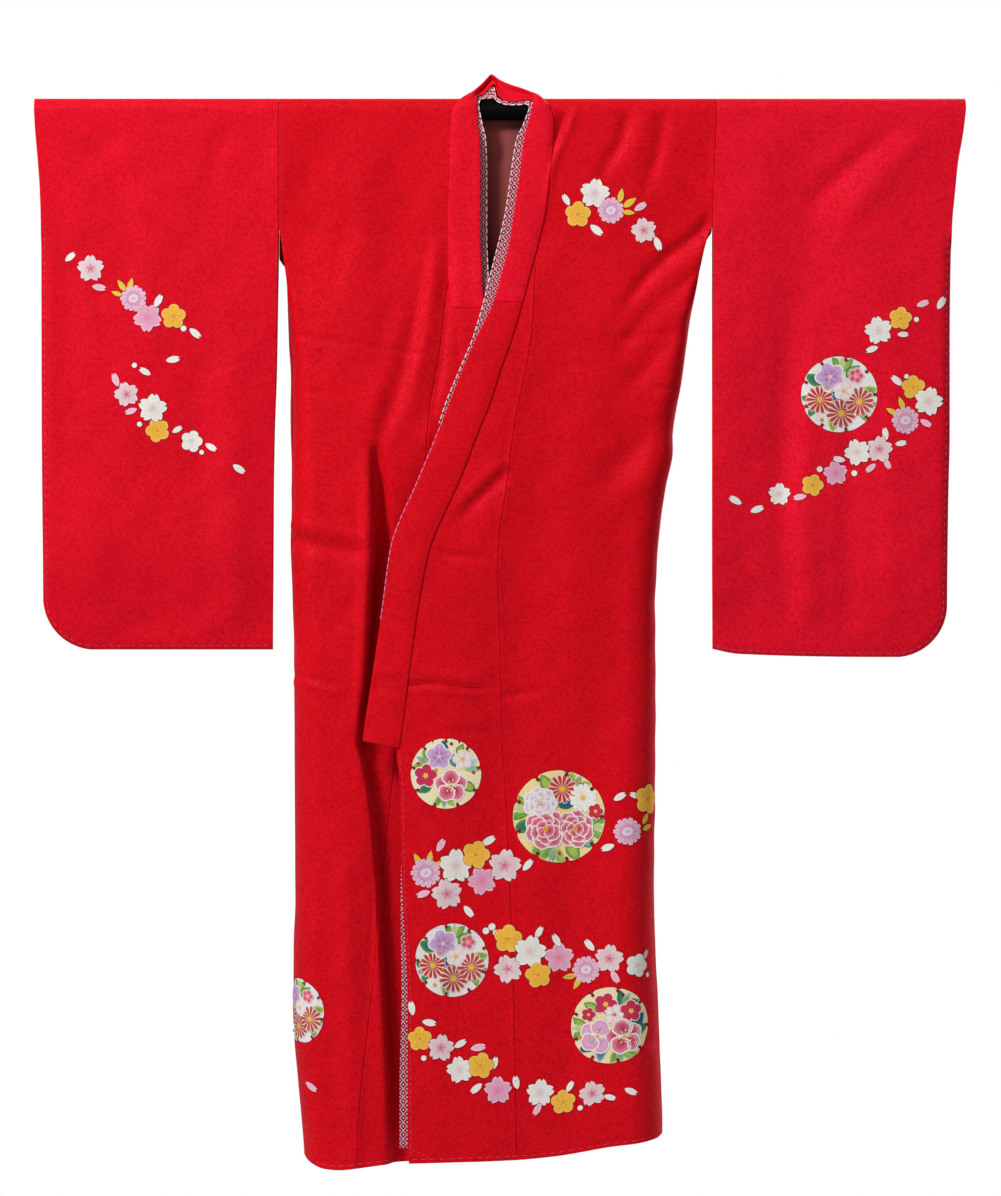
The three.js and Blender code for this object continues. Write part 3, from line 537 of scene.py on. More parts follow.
def body_point(side, s, t):
    """The hanging cloth with its creases."""
    s, t = np.broadcast_arrays(np.asarray(s, float), np.asarray(t, float))
    p = body_mid(side, s, t)
    n = -SIGN[side] * normals_of(lambda a, b: body_mid(side, a, b), s, t)
    z = np.minimum(ARC - np.abs(s), 0.0)
    d = np.where(s < 0, front_disp(side, p[..., 0], z), back_disp(side, p[..., 0], z))
    d = d * smooth((np.abs(s) - ARC * 0.6) / 30) * smooth(t / 14 + 0.25)
    room = CLOTH_RADIUS - np.sqrt(np.maximum(196 - z * z, 0)) - 0.8      # between the cloth and the rod
    d = np.where((z > -13.9) & (d < -room), -room, d)
    return p + n * d[..., None]


def sleeve_mid(side, face, x, z):
    s = SIGN[side]
    low = SLEEVE_LOW[side]
    up = z - low
    from_outer = np.abs(x - SLEEVE[side]["outer"](z))
    d = np.minimum(from_outer, up)
    corner = (from_outer < SLEEVE_CORNER) & (up < SLEEVE_CORNER)
    d = np.where(corner, SLEEVE_CORNER - np.hypot(SLEEVE_CORNER - from_outer, SLEEVE_CORNER - up), d)
    rnd = np.sqrt(np.maximum(0, 1 - (1 - clamp01(d / SLEEVE_ROLL)) ** 2))
    sewn = smooth((CUFF_END[side] - z) / 30)
    deep = mix(CLOTH_RADIUS, 14.0, smooth((-300 - z) / 400))
    belly = 4.0 * np.exp(-((up - 150) / 75) ** 2) * smooth(from_outer / 60)
    y = 0.75 + (deep - 0.75) * mix(1, rnd, sewn) * mix(0.36, 1.0, smooth(up / 130) ** 0.8) + belly
    shift = (SLEEVE_BOTTOM[side]["z"](x) - low) * smooth((-560 - z) / 180)
    return np.stack([x, -y if face == "front" else y, z + shift], -1)


def sleeve_point(side, s, x):
    s, x = np.broadcast_arrays(np.asarray(s, float), np.asarray(x, float))
    z = np.minimum(ARC - np.abs(s), 0.0)
    f = sleeve_mid(side, "front", x, z)
    b = sleeve_mid(side, "back", x, z)
    f[..., 1] -= sleeve_disp(side, "front", x, z)
    b[..., 1] += sleeve_disp(side, "back", x, z)
    p = np.where((s < 0)[..., None], f, b)
    a = s / CLOTH_RADIUS
    over = np.stack([x, CLOTH_RADIUS * np.sin(a), CLOTH_RADIUS * np.cos(a)], -1)
    return np.where((np.abs(s) < ARC)[..., None], over, p)


def front_mid(side, x, z):
    """Both panels of one front as one surface, by its own x and z."""
    return body_face(side, "front", z, body_reach(side, "front", z, x))


def front_point(side, x, z):
    """The same with its creases; the flat part only needs its y moved."""
    s, t = z - ARC, body_reach(side, "front", z, x)
    return body_point(side, s, t)


def okumi_point(side, x, z):
    x, z = np.broadcast_arrays(np.asarray(x, float), np.asarray(z, float))
    y = -(half(z) + front_stand(side, x, z) + front_disp(side, x, z))
    return np.stack([x, y, z + hem_shift("front", x, z)], -1)


def collar_point(side, z, f, over):
    z, f = np.broadcast_arrays(np.asarray(z, float), np.asarray(f, float))
    x = mix(COLLAR[side]["outer"](z), COLLAR[side]["inner"](z), f)
    slant = -10 * (1 - f) * smooth((-790 - z) / 90) if side == "left" else 0.0
    sewn = 1.1 * (1 - smooth(f / 0.22))       # drawn down to its seam
    if side == "right":
        sewn = sewn - 2.6 * smooth((f - 0.55) / 0.45) * smooth((-20 - z) / 60)   # the folded edge stands up
    y = -(half(z) + front_stand(side, x, z) + over - sewn + 4 * f * (1 - f) + 0.9 * front_disp(side, x, z))
    return np.stack([x, y, z + slant], -1)


# --------------------------------------------------------------- mesh making
def make_mesh(name, verts, faces, uv=None, colour=None):
    """verts in mm, faces an (n, 3) or (n, 4) array."""
    me = bpy.data.meshes.new(name)
    faces = np.ascontiguousarray(faces, dtype=np.int32)
    me.vertices.add(len(verts))
    me.vertices.foreach_set("co", np.ascontiguousarray(verts / 1000.0, dtype=np.float32).ravel())
    me.loops.add(faces.size)
    me.loops.foreach_set("vertex_index", faces.ravel())
    me.polygons.add(len(faces))
    me.polygons.foreach_set("loop_start", np.arange(0, faces.size, faces.shape[1], dtype=np.int32))
    me.polygons.foreach_set("use_smooth", np.ones(len(faces), dtype=bool))
    me.update(calc_edges=True)
    if uv is not None:
        layer = me.uv_layers.new(name="cloth")
        layer.data.foreach_set("uv", np.ascontiguousarray(uv[faces.ravel()], dtype=np.float32).ravel())
    if colour is not None:
        layer = me.color_attributes.new("paint", "FLOAT_COLOR", "POINT")
        rgba = np.concatenate([colour, np.ones((len(colour), 1))], 1)
        layer.data.foreach_set("color", np.ascontiguousarray(rgba, dtype=np.float32).ravel())
    me.validate()
    o = bpy.data.objects.new(name, me)
    bpy.context.scene.collection.objects.link(o)
    return o


def shell(name, P, thick, uv=False, rim=(0.42, 0.86)):
    """A thin closed cloth about a grid of mid-surface points (rows, cols, 3), rim rounded."""
    R, C = P.shape[:2]
    du, dv = np.gradient(P, axis=1), np.gradient(P, axis=0)
    n = np.cross(du, dv)
    n /= np.maximum(np.linalg.norm(n, axis=-1, keepdims=True), 1e-9)
    th = np.full((R, C), thick / 2)
    for k, f in enumerate(rim):
        for i in (k, R - 1 - k):
            th[i, :] = np.minimum(th[i, :], thick / 2 * f)
        for j in (k, C - 1 - k):
            th[:, j] = np.minimum(th[:, j], thick / 2 * f)
    top, low = P + n * th[..., None], P - n * th[..., None]
    V = np.concatenate([top.reshape(-1, 3), low.reshape(-1, 3)])
    N = R * C
    ids = np.arange(N).reshape(R, C)
    a, b, c, d = ids[:-1, :-1], ids[:-1, 1:], ids[1:, 1:], ids[1:, :-1]
    faces = [np.stack([a, b, c, d], -1).reshape(-1, 4), N + np.stack([a, d, c, b], -1).reshape(-1, 4)]

    def side(e, flip):
        q = np.stack([e[:-1], e[1:], N + e[1:], N + e[:-1]], -1)
        faces.append(q[:, ::-1] if flip else q)
    side(ids[:, 0], False)
    side(ids[:, -1], True)
    side(ids[0, :], True)
    side(ids[-1, :], False)
    F = np.concatenate(faces)
    tri = V[F]
    vol = np.einsum("ij,ij->", tri[:, 0], np.cross(tri[:, 1], tri[:, 2])) \
        + np.einsum("ij,ij->", tri[:, 0], np.cross(tri[:, 2], tri[:, 3]))
    if vol < 0:
        F = F[:, ::-1]
    uvs = None
    if uv:
        along = np.concatenate([[0], np.cumsum(np.linalg.norm(np.diff(P.mean(1), axis=0), axis=-1))])
        across = np.concatenate([np.zeros((R, 1)), np.cumsum(np.linalg.norm(np.diff(P, axis=1), axis=-1), 1)], 1)
        g = np.stack([np.broadcast_to(along[:, None], (R, C)), across], -1).reshape(-1, 2) / 10.0
        uvs = np.concatenate([g, g])
    return make_mesh(name, V, F, uv=uvs)


EDGE = np.array([0, 0.5, 1.3, 3.0])


def spread(reach, inner, near=EDGE):
    """Distances from 0 to reach, close together at both ends; reach may be an array of rows."""
    reach = np.atleast_1d(np.asarray(reach, float))[:, None]
    m = near[-1]
    f = np.linspace(0, 1, inner)[1:-1]
    mid = m + (reach - 2 * m) * f
    lo = np.broadcast_to(near, (len(reach), len(near)))
    return np.concatenate([lo, mid, reach - near[::-1]], 1)


# -------------------------------------------------------------- the red cloth
def body_panel(side):
    s = SIGN[side]
    zs = np.unique(np.round(np.concatenate([
        np.arange(HEM + 3, -3, 5.2), [HEM, HEM + 0.5, HEM + 1.3]]), 3))
    front = zs - ARC
    rod = np.linspace(-ARC, ARC, 15)
    back = (ARC - zs)[::-1]
    srow = np.concatenate([front, rod, back])
    z = np.minimum(ARC - np.abs(srow), 0.0)
    inner_front = np.where(z > -216.5, COLLAR[side]["outer"](z) + s * TUCK, OKUMI[side]["seam"](z) - s * SEAM_GAP / 2)
    reach_f = body_reach(side, "front", z, inner_front)
    reach_b = body_reach(side, "back", z, -s * SEAM_GAP / 2)
    zr = CLOTH_RADIUS * np.cos(srow / CLOTH_RADIUS)
    x0 = np.where(srow < 0, side_edge(side, "front", zr), side_edge(side, "back", zr))
    reach_r = np.abs(NECK_EDGE[side](np.degrees(srow / CLOTH_RADIUS)) - x0)
    ease = clamp01((srow - ARC) / 4)
    reach_b = mix(np.abs(NECK_EDGE[side](90) - x0), reach_b, ease)
    reach = np.where(np.abs(srow) <= ARC + 1e-6, reach_r, np.where(srow < 0, reach_f, reach_b))
    T = spread(reach, 58)
    return shell("cloth_body_" + side, body_point(side, srow[:, None], T), SHELL)


def okumi_panel(side):
    s = SIGN[side]
    zs = np.unique(np.round(np.concatenate([np.arange(HEM + 3, -217, 5.2), [HEM, HEM + 0.5, HEM + 1.3, -217.5]]), 3))
    seam = OKUMI[side]["seam"](zs) + s * SEAM_GAP / 2
    edge = np.where(zs > COLLAR_END, COLLAR[side]["outer"](zs) + s * TUCK, OKUMI[side]["free"](zs))
    edge = mix(seam + s * 8.0, edge, smooth((-217.5 - zs) / 22)) if side == "right" else \
        mix(seam + s * 8.0, edge, smooth((-217.5 - zs) / 22))
    T = spread(np.abs(edge - seam), 32)
    n = len(zs)
    T = np.concatenate([np.full((n, 1), -4.5), np.full((n, 1), -1.6), np.full((n, 1), -0.5), T], 1)
    P = okumi_point(side, seam[:, None] + s * T, zs[:, None])
    P[..., 1] += 1.9 * smooth((1.3 - T) / 1.7)    # the seam allowance, turned in behind the body panel
    P[:6, :3, 2] += 1.5
    return shell("cloth_okumi_" + side, P, SHELL)


def sleeve(side):
    s = SIGN[side]
    low = SLEEVE_LOW[side]
    zs = np.unique(np.round(np.concatenate([
        low + np.array([0, 0.25, 0.8, 1.8, 3.2, 5, 7.5, 10, 13, 16.5, 20]), np.arange(low + 25, -3, 5.4)]), 3))
    srow = np.concatenate([zs - ARC, np.linspace(-ARC, ARC, 15), (ARC - zs)[::-1]])
    z = np.minimum(ARC - np.abs(srow), 0.0)
    up = z - low
    arc = np.where(up < SLEEVE_CORNER, SLEEVE_CORNER - np.sqrt(np.maximum(
        0, SLEEVE_CORNER ** 2 - (SLEEVE_CORNER - up) ** 2)), 0)
    x0 = SLEEVE[side]["outer"](z) + s * arc
    x1 = SLEEVE[side]["inner"](z) - s * SEAM_GAP / 2
    near = np.array([0, 0.4, 1.2, 2.6, 4.6, 7.2, 10.5, 14.5])
    T = spread(np.abs(x1 - x0), 58, near)
    return shell("cloth_sleeve_" + side, sleeve_point(side, srow[:, None], x0[:, None] + s * T), SHELL)


F_ACROSS = np.concatenate([[0, 0.014, 0.04], np.linspace(0.09, 0.91, 11), [0.96, 0.986, 1]])


def collar_end(side):
    top = OVERCOLLAR_END[side] - SEAM_GAP
    zs = np.concatenate([[top, top - 0.5, top - 1.4], np.linspace(top - 5, COLLAR_END + 4, 118),
                         [COLLAR_END + 1.3, COLLAR_END + 0.5, COLLAR_END]])
    over = COLLAR_OVER + (0.6 if side == "right" else 0.0)
    return shell("cloth_collar_" + side, collar_point(side, zs[:, None], F_ACROSS[None, :], over), 1.9)


def spline_rows(rows, steps):
    """Catmull-Rom through rows of numbers."""
    p = np.array(rows, float)
    out = []
    n = len(p)
    for i in range(n - 1):
        a, b, c, d = p[max(0, i - 1)], p[i], p[i + 1], p[min(n - 1, i + 2)]
        for k in range(steps):
            t = k / steps
            out.append(0.5 * ((2 * b) + (c - a) * t + (2 * a - 5 * b + 4 * c - d) * t * t
                              + (3 * b - a - 3 * c + d) * t ** 3))
    out.append(p[-1])
    return np.array(out)


def over_collar():
    f = F_ACROSS
    neck = spline_rows(NECK, 7)
    a, b, c = ((1 - f) * (1 - 2 * f))[None, :, None], (4 * f * (1 - f))[None, :, None], (f * (2 * f - 1))[None, :, None]
    bend = a * neck[:, None, 0:3] + b * neck[:, None, 3:6] + c * neck[:, None, 6:9]
    along = np.linspace(0, 1, len(neck))
    over_top = smooth(along / 0.22) * smooth((1 - along) / 0.22)   # a fold along the standing neck
    fold = 5.5 * np.exp(-((f - 0.58) / 0.12) ** 2) - 9.0 * np.exp(-((f - 0.85) / 0.085) ** 2)
    bend[..., 1] -= over_top[:, None] * fold[None, :]

    def branch(side):
        end = OVERCOLLAR_END[side]
        zs = np.concatenate([np.linspace(0, end + 5, 54), [end + 1.4, end + 0.5, end]])
        return collar_point(side, zs[:, None], f[None, :], COLLAR_OVER)
    return shell("cloth_over_collar", np.concatenate([branch("right")[::-1], bend, branch("left")]), 1.9)


def strip_turn(side, z):
    """How far the strip's free edge turns back into the neck; only the right side's does."""
    return 7.0 * smooth((-26 - z) / 40) * smooth((z + 262) / 60) if side == "right" else 0.0 * z


def under_collar():
    f = np.array([0, 0.05, 0.15, 0.3, 0.45, 0.6, 0.75, 0.88, 0.96, 1.0])

    def branch(side, end):
        s = SIGN[side]
        z = np.linspace(-24, end, int((-24 - end) / 3.2))[:, None]
        x0, x1 = COLLAR[side]["inner"](z) - s * 5, COLLAR[side]["strip"](z)
        x = mix(x0, x1, f[None, :])
        zz = np.broadcast_to(z, x.shape)
        y = -(half(zz) + front_stand(side, x, zz) + COLLAR_OVER - STRIP_UNDER + 0.9 * front_disp(side, x, zz))
        y = y + strip_turn(side, zz) * f[None, :]
        return np.stack([x, y, zz], -1)
    neck = spline_rows(NECK_STRIP, 6)
    g = f[None, :, None]
    bend = neck[:, None, 0:3] * (1 - g) + neck[:, None, 3:6] * g
    return shell("strip_neck", np.concatenate([branch("right", -272.0)[::-1], bend, branch("left", -440.0)]), 1.0, uv=True)


def front_strip():
    z = np.linspace(-1020, -1445, 130)[:, None]
    f = np.array([0, 0.05, 0.15, 0.3, 0.45, 0.6, 0.75, 0.88, 0.96, 1.0])[None, :]
    x0, x1 = OKUMI["left"]["free"](z) + 9, STRIP_FREE["x"](z)
    x = mix(x0, x1, f)
    zz = np.broadcast_to(z, x.shape)
    y = -(half(zz) + front_stand("left", x, zz) - STRIP_UNDER + front_disp("left", x, zz))
    return shell("strip_front", np.stack([x, y, zz], -1), 1.0, uv=True)


def neck_lining():
    z = np.linspace(-9, -320, 70)[:, None]
    x = np.linspace(-80, 80, 40)[None, :]
    zz, xx = np.broadcast_to(z, (70, 40)), np.broadcast_to(x, (70, 40))
    wave = 0.8 * np.sin(xx * 0.07 + 0.6) * smooth(-zz / 90) + 0.5 * np.sin(xx * 0.16 + zz * 0.02)
    y = half(zz) - LINING_UNDER - 0.9 - np.abs(wave)
    return shell("lining_neck", np.stack([xx, y, zz], -1), 1.0)


# ----------------------------------------------------------------- painting
def S(r, g, b):
    c = np.array([r, g, b], float) / 255.0
    return np.where(c <= 0.04045, c / 12.92, ((c + 0.055) / 1.055) ** 2.4)


WHITE, CREAM, IVORY = S(238, 234, 226), S(238, 226, 188), S(232, 226, 216)
PALE_PINK, PINK, ROSE = S(238, 206, 212), S(232, 150, 178), S(196, 52, 86)
RED, DEEP_RED, LAVENDER = S(206, 40, 40), S(120, 6, 20), S(206, 166, 200)
PURPLE, YELLOW, GOLD = S(168, 104, 172), S(240, 186, 66), S(214, 150, 44)
LEAF, LIME, GREEN, TEAL = S(214, 198, 62), S(176, 196, 84), S(84, 146, 66), S(22, 108, 100)
# SHADE is painted shadow: a dark crimson rim laid just outside each flower, leaf, petal, dot and ring, standing in for
# the shade that the raised shapes would throw on the cloth.
BLUE, SHADE = S(34, 78, 148), S(96, 0, 18)


class Paint:
    """Painted and stitched shapes, as thin layers that lie on the cloth. Each shape is a
    star about its own centre, so it is a fan of rings whose colour runs from c_in to c_out."""

    def __init__(self):
        self.xz, self.h, self.c, self.f, self.n = [], [], [], [], 0
        self.clip = None

    def star(self, cx, cz, pts, c_in, c_out, level, step=5.0, skirt=False, mid=None):
        pts = np.asarray(pts, float)
        k = len(pts)
        rings = max(2, int(math.ceil(np.hypot(*pts.T).max() / step)))
        fr = [(i + 1) / rings for i in range(rings)]
        if rings == 2:
            fr = [0.55, 1.0]
        xz = [[(cx, cz)]] + [np.array([cx, cz]) + pts * g for g in fr]
        hh = [[level]] + [[level] * k for _ in fr]
        cc = [[c_in]] + [[mix(c_in, c_out, g ** 1.3)] * k for g in fr]
        if skirt:
            xz.append(np.array([cx, cz]) + pts * 1.0)
            hh.append([-0.25] * k)
            cc.append([c_out] * k)
        a = np.concatenate([np.asarray(v, float).reshape(-1, 2) for v in xz])
        if self.clip is not None:
            ox, oz, rad = self.clip
            d = a - np.array([ox, oz])
            r = np.hypot(d[:, 0], d[:, 1])
            lim = rad(np.arctan2(d[:, 1], d[:, 0]))
            a = np.where((r > lim)[:, None], np.array([ox, oz]) + d * (lim / np.maximum(r, 1e-6))[:, None], a)
        self.xz.append(a)
        self.h.append(np.concatenate([np.asarray(v, float) for v in hh]))
        self.c.append(np.concatenate([np.asarray(v, float).reshape(-1, 3) for v in cc]))
        base = self.n
        j = np.arange(k)
        j2 = (j + 1) % k
        self.f.append(np.stack([np.full(k, base), base + 1 + j, base + 1 + j2], -1))
        for q in range(len(xz) - 2):
            u, v = base + 1 + q * k, base + 1 + (q + 1) * k
            self.f.append(np.stack([u + j, v + j, v + j2], -1))
            self.f.append(np.stack([u + j, v + j2, u + j2], -1))
        self.n += len(a)

    def disc(self, cx, cz, r, c_in, c_out, level, n=None, ax=1.0, rot=0.0, **kw):
        n = n or max(10, int(r * 3))
        t = np.linspace(0, 2 * math.pi, n, endpoint=False)
        p = np.stack([r * np.cos(t), r * ax * np.sin(t)], -1)
        self.star(cx, cz, turned(p, rot), c_in, c_out, level, **kw)

    def done(self, name, point, sign):
        """point(x, z) gives the cloth's surface; sign is the way out along y."""
        xz, h = np.concatenate(self.xz), np.concatenate(self.h)
        x, z = xz[:, 0], xz[:, 1]
        p = point(x, z)
        e = 1.2
        n = np.cross(point(x + e, z) - point(x - e, z), point(x, z + e) - point(x, z - e))
        n /= np.maximum(np.linalg.norm(n, axis=-1, keepdims=True), 1e-9)
        n *= np.where(sign * n[:, 1:2] > 0, 1, -1)
        v = p + n * (SHELL / 2 + 0.22 + h[:, None])
        f = np.concatenate(self.f)
        tri = v[f]
        fn = np.cross(tri[:, 1] - tri[:, 0], tri[:, 2] - tri[:, 0])
        area = np.linalg.norm(fn, axis=-1)
        flip = np.einsum("ij,ij->i", fn, n[f[:, 0]]) < 0
        f = np.where(flip[:, None], f[:, ::-1], f)[area > 1e-4]
        return make_mesh(name, v, f, colour=np.concatenate(self.c))


def turned(p, rot):
    c, s = math.cos(rot), math.sin(rot)
    p = np.asarray(p, float)
    return np.stack([p[:, 0] * c - p[:, 1] * s, p[:, 0] * s + p[:, 1] * c], -1)


def petal_shape(length, width, notch, grow=0.0):
    """A cherry petal pointing along +x from its foot, about its own middle."""
    t = np.linspace(0, 1, 8)
    top = [((length * u * 0.96), width / 2 * math.sin(math.pi * (0.03 + 0.82 * u ** 0.95)) ** 0.72) for u in t]
    tip = [(length * 1.02, width * 0.15), (length * (1 - notch), 0.0), (length * 1.02, -width * 0.15)]
    p = np.array([(x, y) for x, y in top] + tip + [(x, -y) for x, y in top[::-1]])
    p = p - np.array([length * 0.55, 0])
    r = np.hypot(p[:, 0], p[:, 1])
    return p * ((r + grow) / np.maximum(r, 1e-6))[:, None]


def sakura(P, x, z, r, rot, edge, heart, level=0.06, rim=None):
    """Five broad notched petals about a rosy heart."""
    for k in range(5):
        a = rot + k * 2 * math.pi / 5
        cx, cz = x + math.cos(a) * r * 0.56, z + math.sin(a) * r * 0.56
        P.star(cx, cz, turned(petal_shape(r * 1.02, r * 0.90, 0.13, 0.5), a), SHADE, SHADE, level, skirt=True)
    P.disc(x, z, r * 0.45, edge, edge, level + 0.04, n=16)
    for k in range(5):
        a = rot + k * 2 * math.pi / 5
        cx, cz = x + math.cos(a) * r * 0.56, z + math.sin(a) * r * 0.56
        outer = edge if rim is None else rim
        P.star(cx, cz, turned(petal_shape(r * 1.01, r * 0.88, 0.13), a), mix(edge, heart, 0.10), outer, level + 0.06)
        P.star(cx - math.cos(a) * r * 0.06, cz - math.sin(a) * r * 0.06,
               turned(petal_shape(r * 0.82, r * 0.66, 0.10), a), mix(edge, heart, 0.22), mix(edge, S(120, 110, 120), 0.10), level + 0.10)
    P.disc(x, z, r * 0.44, mix(heart, edge, 0.25), mix(edge, heart, 0.20), level + 0.13, n=18, step=2.0)
    for k in range(5):
        a = rot + k * 2 * math.pi / 5
        P.disc(x + math.cos(a) * r * 0.22, z + math.sin(a) * r * 0.22, r * 0.24, heart, mix(heart, edge, 0.55), level + 0.15,
               n=8, ax=0.20, rot=a)
    P.disc(x, z, r * 0.15, heart, mix(heart, edge, 0.2), level + 0.17, n=12)


def ume(P, x, z, r, rot, fill, rim, heart, level=0.06):
    """Five round petals."""
    for k in range(5):
        a = rot + k * 2 * math.pi / 5
        P.disc(x + math.cos(a) * r * 0.56, z + math.sin(a) * r * 0.56, r * 0.45 + 0.55, SHADE, SHADE, level, n=18, skirt=True)
    P.disc(x, z, r * 0.5, fill, fill, level + 0.05, n=18)
    for k in range(5):
        a = rot + k * 2 * math.pi / 5
        cx, cz = x + math.cos(a) * r * 0.56, z + math.sin(a) * r * 0.56
        P.disc(cx, cz, r * 0.45, rim, rim, level + 0.06, n=18)
        P.disc(cx, cz, r * 0.38, fill, mix(fill, rim, 0.35), level + 0.11, n=16)
    P.disc(x, z, r * 0.16, heart, mix(heart, fill, 0.4), level + 0.16, n=10)
    for k in range(5):
        a = rot + k * 2 * math.pi / 5
        P.disc(x + math.cos(a) * r * 0.30, z + math.sin(a) * r * 0.30, r * 0.17, heart, mix(heart, fill, 0.5), level + 0.15,
               n=6, ax=0.18, rot=a)


def kiku(P, x, z, r, rot, fill, tip, heart, level=0.12, petals=14, shade=True, outline=None):
    """A ring of narrow round-ended petals about a pale boss."""
    if shade:
        P.disc(x, z, r * 0.86, SHADE, SHADE, level, n=32, skirt=True)
    for k in range(petals):
        a = rot + k * 2 * math.pi / petals
        l = r * (1.0 if k % 2 else 0.95)
        p = []
        for u in np.linspace(0, 1, 6):
            p.append((l * u, (0.03 + 0.97 * u ** 0.9) * r * 1.0 * math.pi / petals * (1 if u < 0.95 else 0.55)))
        q = np.array(p + [(a_, -b_) for a_, b_ in p[::-1]]) - np.array([l * 0.6, 0])
        cx, cz = x + math.cos(a) * l * 0.6, z + math.sin(a) * l * 0.6
        if outline is not None:
            P.star(cx, cz, turned(q, a), outline, outline, level + 0.02)
            P.star(cx, cz, turned(q * np.array([0.93, 0.72]), a), fill, mix(fill, tip, 0.10), level + 0.07)
        else:
            P.star(cx, cz, turned(q, a), mix(fill, tip, 0.4) if k % 2 else fill, tip, level + 0.05 + 0.02 * (k % 2))
    if outline is None:
        P.disc(x, z, r * 0.56, mix(fill, heart, 0.3), fill, level + 0.10, n=24)
    if outline is None:
        P.disc(x, z, r * 0.38, WHITE, heart, level + 0.13, n=18, ax=0.80, rot=rot + 0.3)
        P.disc(x, z, r * 0.20, mix(fill, heart, 0.4), mix(heart, fill, 0.2), level + 0.15, n=12, ax=0.80, rot=rot + 0.3)
    else:
        P.disc(x, z, r * 0.22, heart, mix(heart, fill, 0.25), level + 0.13, n=14)


def leaf(P, x, z, length, rot, fill, rim, level=0.04, width=0.42, vein=True, shade=True):
    t = np.linspace(0, 1, 9)
    up = [(length * u, length * width / 2 * math.sin(math.pi * u ** 0.8) ** 0.9) for u in t]
    p = np.array(up + [(a, -b) for a, b in up[-2:0:-1]]) - np.array([length * 0.5, 0])
    r = np.hypot(p[:, 0], p[:, 1])
    if shade:
        P.star(x, z, turned(p * ((r + 0.7) / np.maximum(r, 1e-6))[:, None], rot), SHADE, SHADE, level, skirt=True)
    P.star(x, z, turned(p, rot), rim, rim, level + 0.05)
    P.star(x, z, turned(p * np.array([0.84, 0.70]), rot), fill, mix(fill, rim, 0.5), level + 0.09)
    if vein:
        v = np.array([(-length * 0.42, 0.22), (length * 0.42, 0.22), (length * 0.42, -0.22), (-length * 0.42, -0.22)])
        P.star(x, z, turned(v, rot), rim, rim, level + 0.12)


def petal(P, x, z, r, rot, fill, rim=None, level=0.04):
    P.star(x, z, turned(petal_shape(r * 2.7, r * 1.35, 0.14, 0.55), rot), SHADE, SHADE, level, skirt=True)
    P.star(x, z, turned(petal_shape(r * 2.7, r * 1.35, 0.14), rot), mix(fill, PINK, 0.10), fill if rim is None else rim, level + 0.06)


def dot(P, x, z, r, fill):
    P.disc(x, z, r + 0.6, SHADE, SHADE, 0.03, n=12, skirt=True)
    P.disc(x, z, r, fill, fill, 0.09, n=12)


def peony(P, x, z, r, rot, fill, tip, level):
    """Wavy petals in three rows that lap over each other, each with a pale drawn edge."""
    deep, lap = mix(fill, DEEP_RED, 0.35), 0
    for row, (dist, size, n) in enumerate(((0.60, 0.41, 7), (0.38, 0.35, 6), (0.17, 0.27, 4))):
        for k in range(n):
            a = rot + row * 0.55 + k * 2 * math.pi / n
            d = r * dist * (1 + 0.05 * ((k * 3 + row) % 3 - 1))
            cx, cz = x + math.cos(a) * d, z + math.sin(a) * d
            t = np.linspace(0, 2 * math.pi, 24, endpoint=False)
            rr = r * size * (1 + 0.06 * np.cos(4 * t + 0.6) + 0.05 * np.cos(7 * t + k))
            p = turned(np.stack([rr * np.cos(t) * 0.90, rr * 1.10 * np.sin(t)], -1), a)
            P.star(cx, cz, p, WHITE, WHITE, level + 0.03 * lap)
            P.star(cx, cz, p * 0.86, mix(deep, fill, 0.3 + 0.25 * row), mix(fill, tip, 0.8), level + 0.03 * lap + 0.015)
            lap += 1
    for k in range(6):
        a = rot + k * math.pi / 3
        P.disc(x + math.cos(a) * r * 0.09, z + math.sin(a) * r * 0.09, r * 0.05, YELLOW, GOLD, level + 0.03 * lap + 0.02, n=8)


def camellia(P, x, z, r, rot, fill, tip, level):
    """Five broad petals with pale edges and a brush of stamens."""
    deep = mix(fill, DEEP_RED, 0.4)
    for k in range(5):
        a = rot + (k * 2 % 5) * 2 * math.pi / 5
        cx, cz = x + math.cos(a) * r * 0.52, z + math.sin(a) * r * 0.52
        t = np.linspace(0, 2 * math.pi, 26, endpoint=False)
        rr = r * 0.50 * (1 + 0.05 * np.cos(3 * t) + 0.04 * np.cos(6 * t + k))
        p = turned(np.stack([rr * np.cos(t) * 0.98, rr * 1.10 * np.sin(t)], -1), a)
        P.star(cx, cz, p, WHITE, WHITE, level + 0.03 * k)
        P.star(cx, cz, p * 0.85, fill, mix(fill, tip, 0.9), level + 0.03 * k + 0.015)
        P.star(cx - math.cos(a) * r * 0.16, cz - math.sin(a) * r * 0.16, p * 0.5, deep, mix(fill, tip, 0.3), level + 0.03 * k + 0.022)
    for k in range(9):
        a = rot + 0.2 + k * 2 * math.pi / 9
        l = r * (0.36 if k % 2 else 0.28)
        v = np.array([(-l / 2, 0.28), (l / 2, 0.20), (l / 2, -0.20), (-l / 2, -0.28)])
        P.star(x + math.cos(a) * l * 0.55, z + math.sin(a) * l * 0.55, turned(v, a), WHITE, WHITE, level + 0.20)
        P.disc(x + math.cos(a) * l * 1.05, z + math.sin(a) * l * 1.05, r * 0.045 + 0.2, YELLOW, CREAM, level + 0.23, n=8)
    P.disc(x, z, r * 0.11, GOLD, YELLOW, level + 0.25, n=10)


